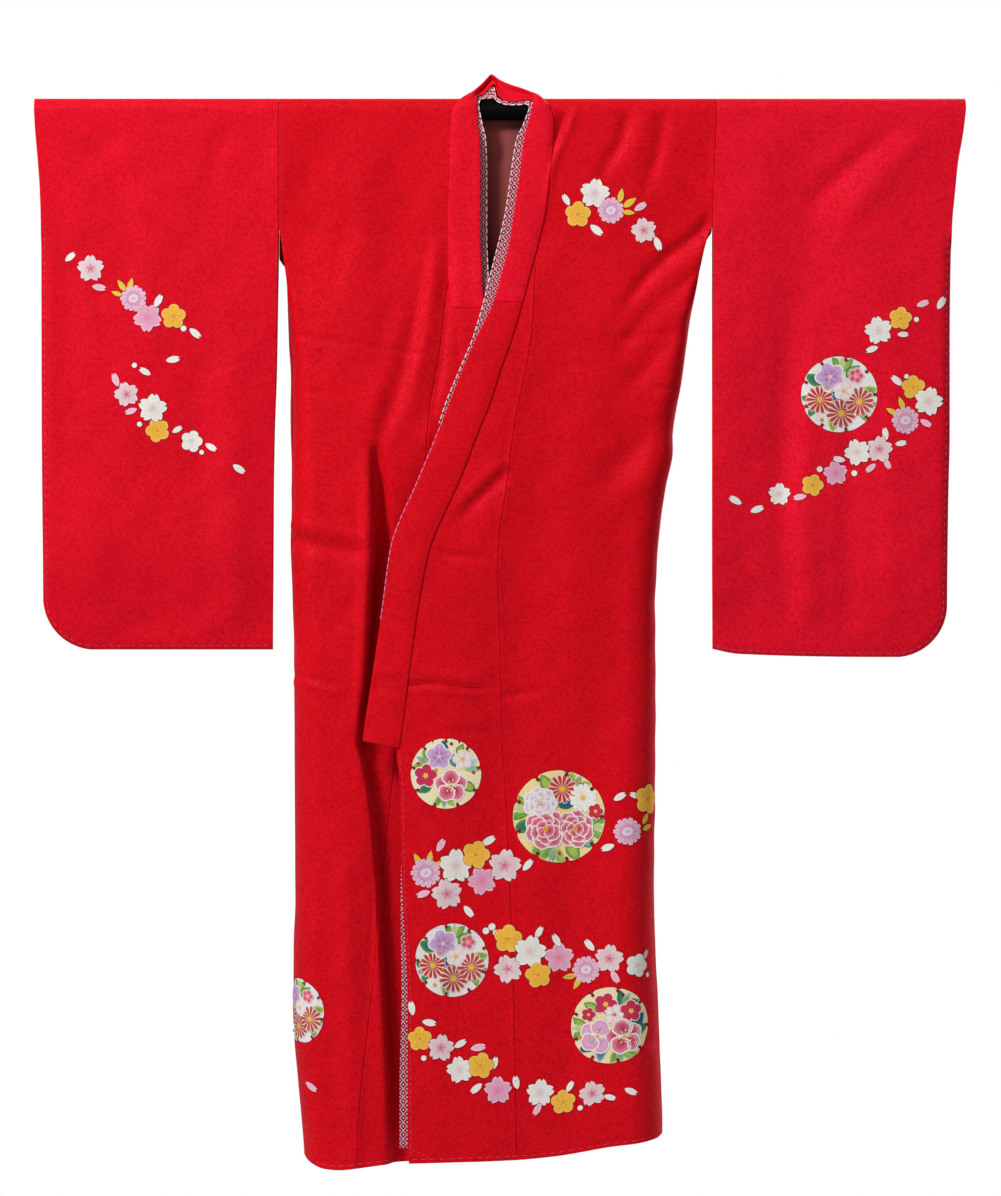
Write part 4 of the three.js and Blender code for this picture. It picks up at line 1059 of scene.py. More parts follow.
def bellflower(P, x, z, r, rot, fill, tip, level):
    """A soft five-pointed bell, palest at its points, with pale veins."""
    t = np.linspace(0, 2 * math.pi, 40, endpoint=False)
    rr = r * (0.74 + 0.26 * np.abs(np.cos(2.5 * t)) ** 1.2)
    p = turned(np.stack([rr * np.cos(t), rr * np.sin(t)], -1), rot)
    P.star(x, z, p, WHITE, WHITE, level)
    P.star(x, z, p * 0.90, tip, fill, level + 0.05)
    for k in range(5):
        a = rot + k * 2 * math.pi / 5
        v = np.array([(-r * 0.30, 0.28), (r * 0.34, 0.20), (r * 0.34, -0.20), (-r * 0.30, -0.28)])
        P.star(x + math.cos(a) * r * 0.42, z + math.sin(a) * r * 0.42, turned(v, a), WHITE, WHITE, level + 0.09)
        P.disc(x + math.cos(a + 0.6) * r * 0.30, z + math.sin(a + 0.6) * r * 0.30, r * 0.15, tip, mix(tip, fill, 0.6), level + 0.08, n=10)
    P.disc(x, z, r * 0.12, YELLOW, CREAM, level + 0.13, n=10)


def roundel(P, x, z, R, turn, ground, parts):
    """A snow ring: a disc whose rim is dented, with small dark drops at the dents, filled with
    flowers. parts: kind, distance and angle from the middle, size (all shares of R), turn, colours."""
    def rim(t, k=1.0):
        d = np.zeros(np.shape(t))
        for i in range(9):
            c = turn + i * 2 * math.pi / 9
            w = np.angle(np.exp(1j * (np.asarray(t) - c)))
            d = d + np.exp(-(w / 0.06) ** 2)
        return R * k * (1.0 - 0.045 * d)
    t = np.linspace(0, 2 * math.pi, 144, endpoint=False)
    o = np.stack([np.cos(t), np.sin(t)], -1)
    P.star(x, z, o * (rim(t) + 0.6)[:, None], SHADE, SHADE, 0.02, skirt=True)
    P.star(x, z, o * rim(t)[:, None], ground, mix(ground, WHITE, 0.25), 0.08)
    P.clip = (x, z, lambda a: rim(a, 0.985))
    for i, (kind, dist, ang, size, rot, ca, cb) in enumerate(parts):
        a = math.radians(ang)
        cx, cz, r, q = x + math.cos(a) * dist * R, z + math.sin(a) * dist * R, size * R, math.radians(rot)
        lv = 0.12 + 0.045 * i
        if kind == "leaf":
            leaf(P, cx, cz, r * 2.2, q, ca, cb, lv, width=0.60, shade=False)
        elif kind == "spray":
            for k, o_ in enumerate((-0.75, 0.75, 0.0)):
                leaf(P, cx + math.cos(q + o_) * r * 0.5, cz + math.sin(q + o_) * r * 0.5, r * 1.5, q + o_,
                     ca if k != 1 else mix(ca, cb, 0.5), IVORY if k == 2 else cb, lv + 0.012 * k, width=0.46, shade=False)
        elif kind == "kiku":
            kiku(P, cx, cz, r * 1.30, q, ca, cb, YELLOW, lv, petals=14, shade=False, outline=WHITE)
        elif kind == "peony":
            peony(P, cx, cz, r * 1.28, q, ca, cb, lv)
        elif kind == "camellia":
            camellia(P, cx, cz, r * 1.30, q, ca, cb, lv)
        elif kind == "bell":
            bellflower(P, cx, cz, r * 1.35, q, ca, cb, lv)
        elif kind == "plum":
            for k in range(5):
                b = q + k * 2 * math.pi / 5
                P.disc(cx + math.cos(b) * r * 0.72, cz + math.sin(b) * r * 0.72, r * 0.60, WHITE, WHITE, lv, n=14)
                P.disc(cx + math.cos(b) * r * 0.72, cz + math.sin(b) * r * 0.72, r * 0.50, ca, cb, lv + 0.05, n=14)
            P.disc(cx, cz, r * 0.26, YELLOW, YELLOW, lv + 0.09, n=10)
        elif kind == "sakura":
            for k in range(5):
                b = q + k * 2 * math.pi / 5
                P.star(cx + math.cos(b) * r * 0.72, cz + math.sin(b) * r * 0.72,
                       turned(petal_shape(r * 1.25, r * 1.15, 0.17), b), ca, cb, lv)
            P.disc(cx, cz, r * 0.25, ROSE, PINK, lv + 0.05, n=10)
        elif kind == "dot":
            P.disc(cx, cz, r, ca, cb, lv, n=10)
    P.clip = None
    for i in range(9):                       # the dark drops at the dents
        a = turn + i * 2 * math.pi / 9
        P.disc(x + math.cos(a) * R * 0.925, z + math.sin(a) * R * 0.925, R * 0.042, DEEP_RED, DEEP_RED, 1.3, n=10)


# Four fillings of the rings, each laid out afresh from common garden flowers.
CRIMSON, WINE, SKY, LILAC, PLUMRED = S(196, 34, 62), S(196, 34, 24), S(128, 186, 196), S(210, 176, 216), S(210, 36, 74)
FILL_PLUM = [
    ("spray", 0.60, 150, 0.36, 150, GREEN, LIME), ("spray", 0.58, 20, 0.38, 30, SKY, LIME),
    ("spray", 0.62, 265, 0.36, 270, GREEN, LIME), ("leaf", 0.74, 95, 0.20, 95, BLUE, TEAL),
    ("leaf", 0.74, 216, 0.20, 210, TEAL, GREEN), ("leaf", 0.76, 330, 0.22, 330, LIME, GREEN),
    ("leaf", 0.44, 60, 0.18, 100, SKY, TEAL), ("leaf", 0.80, 60, 0.16, 60, LIME, GREEN),
    ("bell", 0.52, 112, 0.30, 15, LILAC, PURPLE), ("plum", 0.58, 186, 0.27, 10, PLUMRED, ROSE),
    ("camellia", 0.38, 292, 0.36, 20, CRIMSON, PINK), ("plum", 0.62, 40, 0.22, 30, WHITE, PALE_PINK),
    ("dot", 0.30, 160, 0.05, 0, GOLD, GOLD), ("dot", 0.84, 160, 0.05, 0, ROSE, ROSE),
    ("dot", 0.78, 2, 0.05, 0, ROSE, ROSE), ("dot", 0.86, 80, 0.045, 0, DEEP_RED, DEEP_RED)]
FILL_PEONY = [
    ("spray", 0.72, 170, 0.34, 165, LIME, GREEN), ("spray", 0.70, 62, 0.32, 60, GREEN, LIME),
    ("spray", 0.72, 262, 0.36, 255, GREEN, LIME), ("spray", 0.74, 345, 0.32, 345, LIME, GREEN),
    ("leaf", 0.78, 112, 0.20, 118, LIME, GREEN), ("leaf", 0.82, 196, 0.22, 200, TEAL, GREEN),
    ("leaf", 0.40, 60, 0.26, 20, BLUE, TEAL), ("leaf", 0.38, 100, 0.20, 80, BLUE, SKY),
    ("leaf", 0.82, 292, 0.22, 300, LIME, GREEN), ("leaf", 0.84, 318, 0.18, 330, SKY, GREEN),
    ("leaf", 0.84, 236, 0.18, 230, GREEN, LIME),
    ("kiku", 0.60, 84, 0.25, 0, WINE, WHITE), ("kiku", 0.66, 38, 0.24, 0, WHITE, IVORY),
    ("peony", 0.50, 146, 0.31, 0, LILAC, WHITE), ("peony", 0.44, 322, 0.35, 30, WINE, PINK),
    ("peony", 0.40, 222, 0.38, 0, CRIMSON, PINK), ("plum", 0.80, 8, 0.14, 0, RED, ROSE),
    ("dot", 0.86, 60, 0.04, 0, GOLD, GOLD), ("dot", 0.80, 270, 0.04, 0, ROSE, ROSE)]
FILL_KIKU = [
    ("spray", 0.66, 85, 0.34, 85, LIME, GREEN), ("spray", 0.66, 200, 0.36, 200, TEAL, GREEN),
    ("spray", 0.68, 330, 0.34, 330, LIME, GREEN), ("leaf", 0.78, 150, 0.24, 150, TEAL, GREEN),
    ("leaf", 0.78, 258, 0.22, 262, GREEN, LIME), ("leaf", 0.78, 6, 0.22, 18, GREEN, LIME),
    ("leaf", 0.20, 200, 0.22, 170, BLUE, TEAL), ("leaf", 0.70, 60, 0.22, 40, LIME, GREEN),
    ("kiku", 0.54, 195, 0.29, 0, WINE, IVORY), ("kiku", 0.50, 275, 0.31, 10, S(178, 50, 50), CREAM),
    ("kiku", 0.56, 340, 0.31, 5, S(186, 58, 46), WHITE), ("bell", 0.52, 118, 0.31, 40, LILAC, PURPLE),
    ("plum", 0.14, 40, 0.21, 0, WHITE, PALE_PINK), ("plum", 0.66, 48, 0.17, 0, PLUMRED, PINK),
    ("dot", 0.82, 235, 0.05, 0, GOLD, GOLD), ("dot", 0.38, 150, 0.05, 0, GOLD, GOLD)]
FILL_CAMELLIA = [
    ("spray", 0.62, 62, 0.34, 60, GREEN, TEAL), ("spray", 0.66, 184, 0.34, 180, LIME, GREEN),
    ("spray", 0.68, 285, 0.36, 285, GREEN, LIME), ("leaf", 0.72, 352, 0.26, 20, TEAL, GREEN),
    ("leaf", 0.70, 12, 0.22, 50, TEAL, BLUE), ("leaf", 0.78, 222, 0.24, 210, BLUE, TEAL),
    ("leaf", 0.78, 250, 0.20, 260, BLUE, SKY), ("leaf", 0.82, 306, 0.22, 310, GREEN, LIME),
    ("leaf", 0.70, 135, 0.20, 150, LIME, GREEN),
    ("plum", 0.58, 104, 0.24, 0, PLUMRED, ROSE), ("plum", 0.62, 38, 0.23, 20, PLUMRED, ROSE),
    ("sakura", 0.30, 74, 0.21, 0, WHITE, PALE_PINK), ("plum", 0.64, 152, 0.15, 0, CRIMSON, ROSE),
    ("camellia", 0.44, 218, 0.35, 0, LILAC, PINK), ("camellia", 0.44, 318, 0.37, 30, CRIMSON, PINK),
    ("dot", 0.84, 200, 0.045, 0, GOLD, GOLD), ("dot", 0.86, 70, 0.04, 0, DEEP_RED, DEEP_RED)]

# motifs: kind, plan u, v, size in plan units, turn in degrees
MOTIFS = {
    "sleeve_right": [
        ("petal_w", 70, 256, 4.5, 40), ("sakura_p", 90, 268, 13, 20), ("petal_p", 99, 287, 5, -10),
        ("leaf", 121, 285, 6, 125), ("leaf", 130, 284, 6, 75), ("leaf", 116, 293, 5, 160),
        ("kiku", 133, 298, 12.4, 0), ("petal_w", 158, 300, 5, 60), ("sakura_k", 147, 317, 14, 50),
        ("ume_y", 173, 316, 12.4, 15), ("dot", 183, 328, 3, 0), ("petal_w", 195, 333, 5, -40),
        ("petal_w", 173, 359, 5, 10), ("dot", 134, 365, 2.6, 0), ("petal_w", 144, 371, 4.5, 150),
        ("petal_p", 115, 379, 5, 110), ("sakura_p", 126, 394, 12, 35), ("sakura_w", 152, 408, 14, 10),
        ("petal_p", 130, 411, 4.5, 200), ("dot", 139, 424, 2.6, 0), ("ume_y", 157, 430, 12, 40),
        ("petal_w", 177, 429, 4, 30), ("ume_w", 191, 441, 11, 0), ("dot", 201, 452, 2.4, 0),
        ("petal_w", 211, 447, 4.6, -30), ("petal_w", 239, 469, 5, -35)],
    "sleeve_left": [
        ("petal_p", 924, 303, 4.6, 20), ("petal_w", 942, 302, 5, 60), ("ume_y", 901, 318, 11.5, 10),
        ("dot", 917, 319, 2.6, 0), ("sakura_w", 879, 330, 13.5, 30), ("petal_w", 904, 334, 4, 0),
        ("petal_w", 872, 349, 4.5, 200), ("ring_kiku", 840, 394, 38, 0), ("petal_w", 897, 380, 5, 140),
        ("dot", 907, 376, 2.4, 0), ("ume_y", 914, 387, 12, 20), ("sakura_w", 929, 401, 14, 0),
        ("leaf", 902, 403, 6, 110), ("leaf", 892, 411, 5.5, 150), ("kiku", 906, 420, 13, 0),
        ("petal_p", 927, 423, 4.6, -30), ("petal_w", 886, 433, 4.5, 100), ("petal_w", 902, 443, 4.2, 10),
        ("sakura_p", 880, 449, 13, 12), ("sakura_w", 858, 452, 13, 40), ("petal_p", 888, 464, 4.2, -60),
        ("petal_p", 871, 468, 4.4, 220), ("petal_w", 839, 459, 4.5, 170), ("dot", 855, 473, 3, 0),
        ("dot", 820, 469, 3, 0), ("sakura_k", 836, 473, 12, 25), ("ume_y", 813, 485, 11, 0),
        ("petal_p", 800, 497, 4.6, 190), ("sakura_w", 780, 494, 11, 15), ("petal_w", 758, 509, 5, 20),
        ("petal_w", 735, 500, 5, 150)],
    "front_left": [
        ("sakura_w", 595, 193, 14.5, 10), ("ume_y", 578, 214, 13, 15), ("petal_w", 566, 199, 4.5, 120),
        ("leaf", 621, 195, 6.5, 80), ("leaf", 630, 202, 7, 35), ("leaf", 629, 212, 5.5, -5),
        ("kiku", 611, 210, 12.5, 0), ("petal_p", 641, 206, 5, 30), ("petal_w", 597, 230, 5.5, -40),
        ("sakura_p", 644, 230, 12.5, 30), ("petal_w", 658, 244, 5.2, -70),
        ("ring_plum", 446, 773, 35, 10), ("ring_peony", 559, 816, 46, 0),
        ("petal_w", 620, 796, 4.8, 30), ("petal_w", 634, 795, 4.2, 160), ("ume_y", 649, 799, 15, 5),
        ("leaf", 646, 818, 6, 60), ("leaf", 649, 827, 6, 20), ("kiku", 627, 831, 13, 0),
        ("petal_w", 607, 847, 5, 200),
        ("petal_p", 441, 844, 5, 60), ("petal_w", 489, 840, 5.5, 30), ("sakura_w", 456, 865, 16.5, 18),
        ("ume_y", 476, 854, 14, 0), ("leaf", 418, 859, 6.5, 120), ("leaf", 430, 857, 6.5, 80),
        ("leaf", 438, 863, 5, 40), ("kiku", 426, 872, 14, 0), ("sakura_k", 482, 880, 14, 40),
        ("sakura_p", 505, 865, 16, 10), ("petal_w", 528, 864, 5, 50), ("petal_p", 423, 893, 5, 200),
        ("sakura_p", 447, 893, 15, 30), ("petal_w", 469, 911, 5, -50),
        ("ring_kiku", 452, 959, 36.5, 20),
        ("dot", 486, 930, 3.4, 0), ("dot", 492, 926, 3.6, 0), ("dot", 496, 932, 3.2, 0), ("ume_y", 508, 938, 14, 12),
        ("sakura_w", 530, 951, 16, 5), ("petal_w", 539, 931, 4.6, 60), ("petal_w", 556, 939, 5, 120),
        ("sakura_p", 508, 968, 14, 40), ("ume_y", 538, 974, 13, 30), ("sakura_k", 559, 957, 14.5, 20),
        ("leaf", 569, 976, 6, 190), ("leaf", 577, 983, 6, 240), ("kiku", 586, 969, 13, 0),
        ("petal_w", 589, 944, 5, 130), ("sakura_p", 609, 958, 14, 10), ("petal_p", 615, 977, 5, -60),
        ("ume_w", 637, 965, 12, 0), ("petal_p", 648, 954, 4, 60), ("dot", 651, 975, 2.6, 0),
        ("ring_camellia", 611, 1027, 40, 0),
        ("petal_w", 412, 1006, 5, 100), ("petal_w", 430, 1021, 5, -10), ("ume_y", 420, 1037, 12, 20),
        ("sakura_p", 441, 1046, 13, 10), ("petal_w", 461, 1042, 4.8, 30), ("petal_p", 479, 1046, 5.4, 10),
        ("dot", 424, 1056, 2.8, 0), ("sakura_w", 460, 1068, 13, 30), ("ume_y", 481, 1064, 13, 5),
        ("petal_w", 495, 1061, 4.4, 80), ("petal_w", 476, 1087, 5, 220), ("sakura_k", 498, 1089, 13.5, 20),
        ("petal_w", 516, 1081, 4.8, 100), ("sakura_w", 540, 1093, 13.5, 12), ("petal_p", 537, 1110, 4.8, 240),
        ("ume_y", 563, 1104, 12.5, 20), ("petal_w", 570, 1088, 4.4, 60), ("sakura_p", 592, 1098, 13, 30),
        ("dot", 580, 1112, 2.8, 0), ("petal_w", 610, 1104, 4.6, -20), ("petal_w", 631, 1099, 5, -30)],
    "front_right": [
        ("ring_kiku", 291, 1012, 33, 30), ("petal_p", 310, 1085, 5, -20)],
    "back": [   # the same kinds of strings and rings, spread over the back of the skirt
        ("sakura_w", 350, 210, 14, 0), ("ume_y", 372, 228, 13, 10), ("kiku", 330, 232, 13, 0),
        ("leaf", 318, 222, 6.5, 120), ("petal_w", 392, 216, 5, 30), ("sakura_p", 398, 244, 13, 20),
        ("petal_w", 420, 262, 5, -30),
        ("sakura_p", 620, 330, 14, 10), ("ume_y", 598, 344, 12, 0), ("sakura_w", 576, 330, 13, 30),
        ("petal_w", 640, 318, 5, 40), ("petal_p", 556, 348, 5, 200),
        ("ring_peony", 400, 860, 45, 40), ("ring_kiku", 560, 940, 40, 0), ("ring_camellia", 440, 1060, 40, 20),
        ("ring_plum", 610, 780, 34, 0),
        ("sakura_w", 470, 880, 15, 0), ("ume_y", 494, 896, 14, 20), ("sakura_p", 516, 880, 15, 40),
        ("kiku", 470, 910, 13, 0), ("leaf", 458, 922, 6.5, 220), ("petal_w", 536, 866, 5, 60),
        ("petal_w", 448, 932, 5, 200), ("sakura_k", 330, 930, 14, 10), ("ume_y", 352, 946, 13, 0),
        ("sakura_w", 374, 936, 14, 20), ("petal_p", 394, 952, 5, 20), ("petal_w", 320, 955, 5, 240),
        ("sakura_p", 600, 1010, 14, 20), ("ume_y", 622, 1024, 13, 5), ("sakura_w", 578, 1026, 14, 0),
        ("petal_w", 556, 1040, 5, 190), ("petal_p", 640, 1006, 5, 40),
        ("sakura_w", 500, 1080, 14, 20), ("ume_y", 524, 1092, 13, 0), ("sakura_k", 548, 1078, 13, 30),
        ("kiku", 340, 1060, 13, 0), ("leaf", 352, 1046, 6.5, 60), ("sakura_p", 362, 1078, 14, 0),
        ("petal_w", 384, 1092, 5, -20), ("petal_w", 480, 1100, 5, 200), ("petal_p", 572, 1094, 5, 20)],
    "sleeve_right_back": [
        ("ring_camellia", 150, 380, 38, 0), ("sakura_w", 96, 330, 14, 0), ("ume_y", 74, 316, 12, 20),
        ("sakura_p", 120, 440, 14, 20), ("ume_y", 142, 456, 12, 0), ("kiku", 166, 446, 13, 0),
        ("leaf", 178, 434, 6, 60), ("sakura_w", 190, 470, 13, 10), ("petal_w", 214, 486, 5, -30),
        ("petal_w", 100, 300, 5, 40), ("petal_p", 92, 456, 5, 200), ("dot", 206, 466, 3, 0)],
    "sleeve_left_back": [
        ("sakura_p", 880, 290, 14, 0), ("ume_y", 858, 306, 12, 10), ("sakura_w", 836, 292, 13, 30),
        ("petal_w", 904, 280, 5, 30), ("ring_plum", 830, 420, 34, 0), ("sakura_w", 780, 460, 14, 20),
        ("kiku", 756, 478, 13, 0), ("leaf", 744, 466, 6, 140), ("ume_y", 800, 480, 12, 0),
        ("petal_p", 820, 496, 5, -20), ("petal_w", 884, 446, 5, 60), ("dot", 770, 498, 3, 0)],
}
FILLS = {"ring_plum": (S(240, 224, 176), FILL_PLUM), "ring_peony": (S(240, 206, 122), FILL_PEONY),
         "ring_kiku": (S(228, 222, 222), FILL_KIKU), "ring_camellia": (S(240, 218, 160), FILL_CAMELLIA)}


def paint_motifs(name, rows, point, sign):
    P = Paint()
    for i, (kind, u, v, size, turn) in enumerate(rows):
        x, z = pl(u, v)
        r, a, lv = size * U, math.radians(turn), 0.04 + 0.17 * (i % 4)
        if kind == "sakura_w":
            sakura(P, x, z, r, a, WHITE, S(216, 190, 192), lv, rim=WHITE)
        elif kind == "sakura_p":
            sakura(P, x, z, r, a, S(232, 212, 212), S(206, 92, 128), lv, rim=S(240, 204, 210))
        elif kind == "sakura_k":
            sakura(P, x, z, r, a, S(232, 166, 192), S(220, 128, 164), lv, rim=S(238, 182, 202))
        elif kind == "ume_y":
            ume(P, x, z, r, a, S(238, 176, 44), S(242, 196, 104), S(216, 148, 40), lv)
        elif kind == "ume_w":
            ume(P, x, z, r, a, S(236, 230, 222), WHITE, S(214, 196, 190), lv)
        elif kind == "kiku":
            kiku(P, x, z, r * 1.06, a, S(208, 150, 184), S(232, 190, 208), S(226, 200, 216), lv)
        elif kind == "leaf":
            leaf(P, x, z, r * 2.3, a, S(206, 196, 56), S(238, 184, 70), lv)
        elif kind == "petal_w":
            petal(P, x, z, r, a, WHITE, None, lv)
        elif kind == "petal_p":
            petal(P, x, z, r, a, S(236, 172, 196), S(240, 196, 210), lv)
        elif kind == "dot":
            dot(P, x, z, r, WHITE)
        else:
            ground, parts = FILLS[kind]
            roundel(P, x, z, r, a, ground, parts)
    return P.done(name, point, sign)


def place_front(side):
    def f(x, z):
        return front_point(side, x, z)
    return f


def place_back(x, z):
    r = body_point("right", ARC - z, body_reach("right", "back", z, x))
    l = body_point("left", ARC - z, body_reach("left", "back", z, x))
    return np.where((x < 0)[:, None], r, l)


def place_sleeve(side, face):
    def f(x, z):
        return sleeve_point(side, (z - ARC) if face == "front" else (ARC - z), x)
    return f


# ------------------------------------------------------------ tacking stitches
def stitches(name, runs, colour):
    """Long tacking stitches: each run is (point function, sign, list of (x, z), stitch, gap)."""
    V, F, n = [], [], 0
    for point, sign, line, stitch, gap in runs:
        line = np.array(line, float)
        seg = np.hypot(*np.diff(line, axis=0).T)
        at = np.concatenate([[0], np.cumsum(seg)])
        k, pos = 0, 0.0
        while pos < at[-1] - stitch * 0.5:
            a, b = pos, min(pos + stitch * (0.85 + 0.3 * ((k * 37) % 10) / 10), at[-1])
            q = np.linspace(a, b, 5)
            x, z = np.interp(q, at, line[:, 0]), np.interp(q, at, line[:, 1])
            d = np.array([x[-1] - x[0], z[-1] - z[0]])
            d /= max(np.hypot(*d), 1e-6)
            side = np.array([-d[1], d[0]])
            ring = []
            for j in range(5):
                lift = (0.05, 0.50, 0.62, 0.50, 0.05)[j]
                w = (0.14, 0.22, 0.24, 0.22, 0.14)[j]
                for o, h in ((-w, -0.1), (-w * 0.6, lift), (w * 0.6, lift), (w, -0.1)):
                    ring.append((x[j] + side[0] * o, z[j] + side[1] * o, h))
            ring = np.array(ring)
            p = point(ring[:, 0], ring[:, 1])
            p[:, 1] += sign * (SHELL / 2 + ring[:, 2])
            V.append(p)
            for j in range(4):
                for m in range(4):
                    u = n + j * 4
                    F.append((u + m, u + (m + 1) % 4, u + 4 + (m + 1) % 4, u + 4 + m))
            F.append((n + 3, n + 2, n + 1, n))
            F.append((n + 16, n + 17, n + 18, n + 19))
            n += 20
            pos = b + gap * (0.8 + 0.4 * ((k * 53) % 10) / 10)
            k += 1
    o = make_mesh(name, np.concatenate(V), np.array(F))
    return o


def edging(name, path, radius, beads, step=1.7):
    """A thin piping along an edge, its colour changing every few millimetres."""
    path = np.asarray(path, float)
    at = np.concatenate([[0], np.cumsum(np.linalg.norm(np.diff(path, axis=0), axis=-1))])
    q = np.arange(0, at[-1], step)
    p = np.stack([np.interp(q, at, path[:, k]) for k in range(3)], -1)
    tan = np.gradient(p, axis=0)
    tan /= np.maximum(np.linalg.norm(tan, axis=-1, keepdims=True), 1e-9)
    a = np.cross(tan, np.array([0.0, 1.0, 0.0]))
    a /= np.maximum(np.linalg.norm(a, axis=-1, keepdims=True), 1e-9)
    b = np.cross(tan, a)
    n, k = len(p), 6
    ang = np.arange(k) * 2 * math.pi / k
    ring = p[:, None] + radius * (np.cos(ang)[None, :, None] * a[:, None] + np.sin(ang)[None, :, None] * b[:, None])
    V = np.concatenate([ring.reshape(-1, 3), p[:1], p[-1:]])
    col = np.stack([beads[(i // 2) % len(beads)] for i in range(n)])
    C = np.concatenate([np.repeat(col, k, axis=0), col[:1], col[-1:]])
    j = np.arange(k)
    F = []
    for i in range(n - 1):
        u, v = i * k, (i + 1) * k
        F.append(np.stack([u + j, v + j, v + (j + 1) % k], -1))
        F.append(np.stack([u + j, v + (j + 1) % k, u + (j + 1) % k], -1))
    F.append(np.stack([np.full(k, n * k), j, (j + 1) % k], -1))
    F.append(np.stack([np.full(k, n * k + 1), (n - 1) * k + (j + 1) % k, (n - 1) * k + j], -1))
    return make_mesh(name, V, np.concatenate(F), colour=C)


def strip_edge():
    """The visible edge of the patterned strip, round the neck."""
    def branch(side, end):
        z = np.linspace(-24, end, 90)
        x = COLLAR[side]["strip"](z) - SIGN[side] * 0.3
        y = -(half(z) + front_stand(side, x, z) + COLLAR_OVER - STRIP_UNDER + 0.9 * front_disp(side, x, z)) - 0.7
        y = y + 0.97 * strip_turn(side, z)
        return np.stack([x, y, z], -1)
    neck = spline_rows(NECK_STRIP, 6)[:, 3:6] + np.array([0.0, -0.9, 0.2])
    return np.concatenate([branch("right", -272.0)[::-1], neck, branch("left", -440.0)])


def strip_root():
    """Where the strip comes out from under the collar's edge at the back of the neck."""
    return spline_rows(NECK_STRIP, 6)[:, 0:3] + np.array([0.0, -1.4, -0.6])


def collar_edge():
    z = np.linspace(-436, -712, 120)
    x = COLLAR["left"]["inner"](z) - 0.2
    y = -(half(z) + front_stand("left", x, z) + COLLAR_OVER + 0.9 * front_disp("left", x, z)) - 0.9
    return np.stack([x, y, z], -1)


# ---------------------------------------------------------------- materials
def material(name):
    m = bpy.data.materials.new(name)
    m.use_nodes = True
    nt = m.node_tree
    bsdf = nt.nodes["Principled BSDF"]
    return m, nt, bsdf


def add(nt, kind, **props):
    n = nt.nodes.new(kind)
    for k, v in props.items():
        setattr(n, k, v)
    return n


def noise(nt, vec, scale, detail=2.0, rough=0.5, distort=0.0):
    n = add(nt, "ShaderNodeTexNoise")
    n.inputs["Scale"].default_value = scale
    n.inputs["Detail"].default_value = detail
    n.inputs["Roughness"].default_value = rough
    n.inputs["Distortion"].default_value = distort
    nt.links.new(vec, n.inputs["Vector"])
    return n


def ramp(nt, fac, stops):
    n = add(nt, "ShaderNodeValToRGB")
    e = n.color_ramp.elements
    while len(e) < len(stops):
        e.new(0.5)
    for el, (pos, col) in zip(e, stops):
        el.position = pos
        el.color = (*[float(c) for c in (col if hasattr(col, "__len__") else (col,) * 3)], 1.0)
    nt.links.new(fac, n.inputs["Fac"])
    return n


def math_node(nt, op, a, b=None):
    n = add(nt, "ShaderNodeMath", operation=op)
    for i, v in enumerate((a, b)):
        if v is None:
            continue
        if isinstance(v, (int, float)):
            n.inputs[i].default_value = v
        else:
            nt.links.new(v, n.inputs[i])
    return n.outputs[0]


def mix_col(nt, fac, a, b, blend="MIX"):
    n = add(nt, "ShaderNodeMix", data_type="RGBA", blend_type=blend)
    for sock, v in ((n.inputs[0], fac), (n.inputs[6], a), (n.inputs[7], b)):
        if isinstance(v, (int, float)):
            sock.default_value = v
        elif isinstance(v, (tuple, list, np.ndarray)):
            sock.default_value = (*[float(c) for c in v][:3], 1.0)
        else:
            nt.links.new(v, sock)
    return n.outputs[2]


def bump(nt, height, strength, distance, normal=None):
    n = add(nt, "ShaderNodeBump")
    n.inputs["Strength"].default_value = strength
    n.inputs["Distance"].default_value = distance
    nt.links.new(height, n.inputs["Height"])
    if normal is not None:
        nt.links.new(normal, n.inputs["Normal"])
    return n.outputs["Normal"]


def red_silk(name, dark, light, bottom=None):
    """Figured silk: a matt ground with small satin figures a shade lighter, a fine twill bump."""
    m, nt, b = material(name)
    tc = add(nt, "ShaderNodeTexCoord")
    obj = tc.outputs["Object"]
    broad = noise(nt, obj, 7.0, 2.0, 0.5)
    patch = noise(nt, obj, 118.0, 2.0, 0.55, 2.4)
    fine = noise(nt, obj, 420.0, 3.0, 0.75, 0.6)
    figure = ramp(nt, patch.outputs["Fac"], [(0.42, 0.0), (0.54, 1.0)])
    grain = ramp(nt, fine.outputs["Fac"], [(0.30, 0.0), (0.70, 1.0)])
    mixf = math_node(nt, "ADD", math_node(nt, "MULTIPLY", figure.outputs["Color"], 0.42),
                     math_node(nt, "MULTIPLY", grain.outputs["Color"], 0.58))
    col = mix_col(nt, mixf, dark, light)
    shade = ramp(nt, broad.outputs["Fac"], [(0.3, 0.95), (0.7, 1.03)])
    col = mix_col(nt, 1.0, col, shade.outputs["Color"], "MULTIPLY")
    nt.links.new(col, b.inputs["Base Color"])
    rough = ramp(nt, figure.outputs["Color"], [(0.0, 0.66), (1.0, 0.50)])
    nt.links.new(rough.outputs["Color"], b.inputs["Roughness"])
    b.inputs["Specular IOR Level"].default_value = 0.22
    b.inputs["Specular Tint"].default_value = (1.0, 0.16, 0.34, 1.0)
    b.inputs["Sheen Weight"].default_value = 0.10
    b.inputs["Sheen Roughness"].default_value = 0.45
    b.inputs["Sheen Tint"].default_value = (1.0, 0.12, 0.26, 1.0)
    weave = noise(nt, obj, 1300.0, 2.0, 0.5)
    n1 = bump(nt, weave.outputs["Fac"], 0.30, 0.0003)
    n2 = bump(nt, fine.outputs["Fac"], 0.22, 0.0008, n1)
    nt.links.new(bump(nt, patch.outputs["Fac"], 0.14, 0.0012, n2), b.inputs["Normal"])
    return m


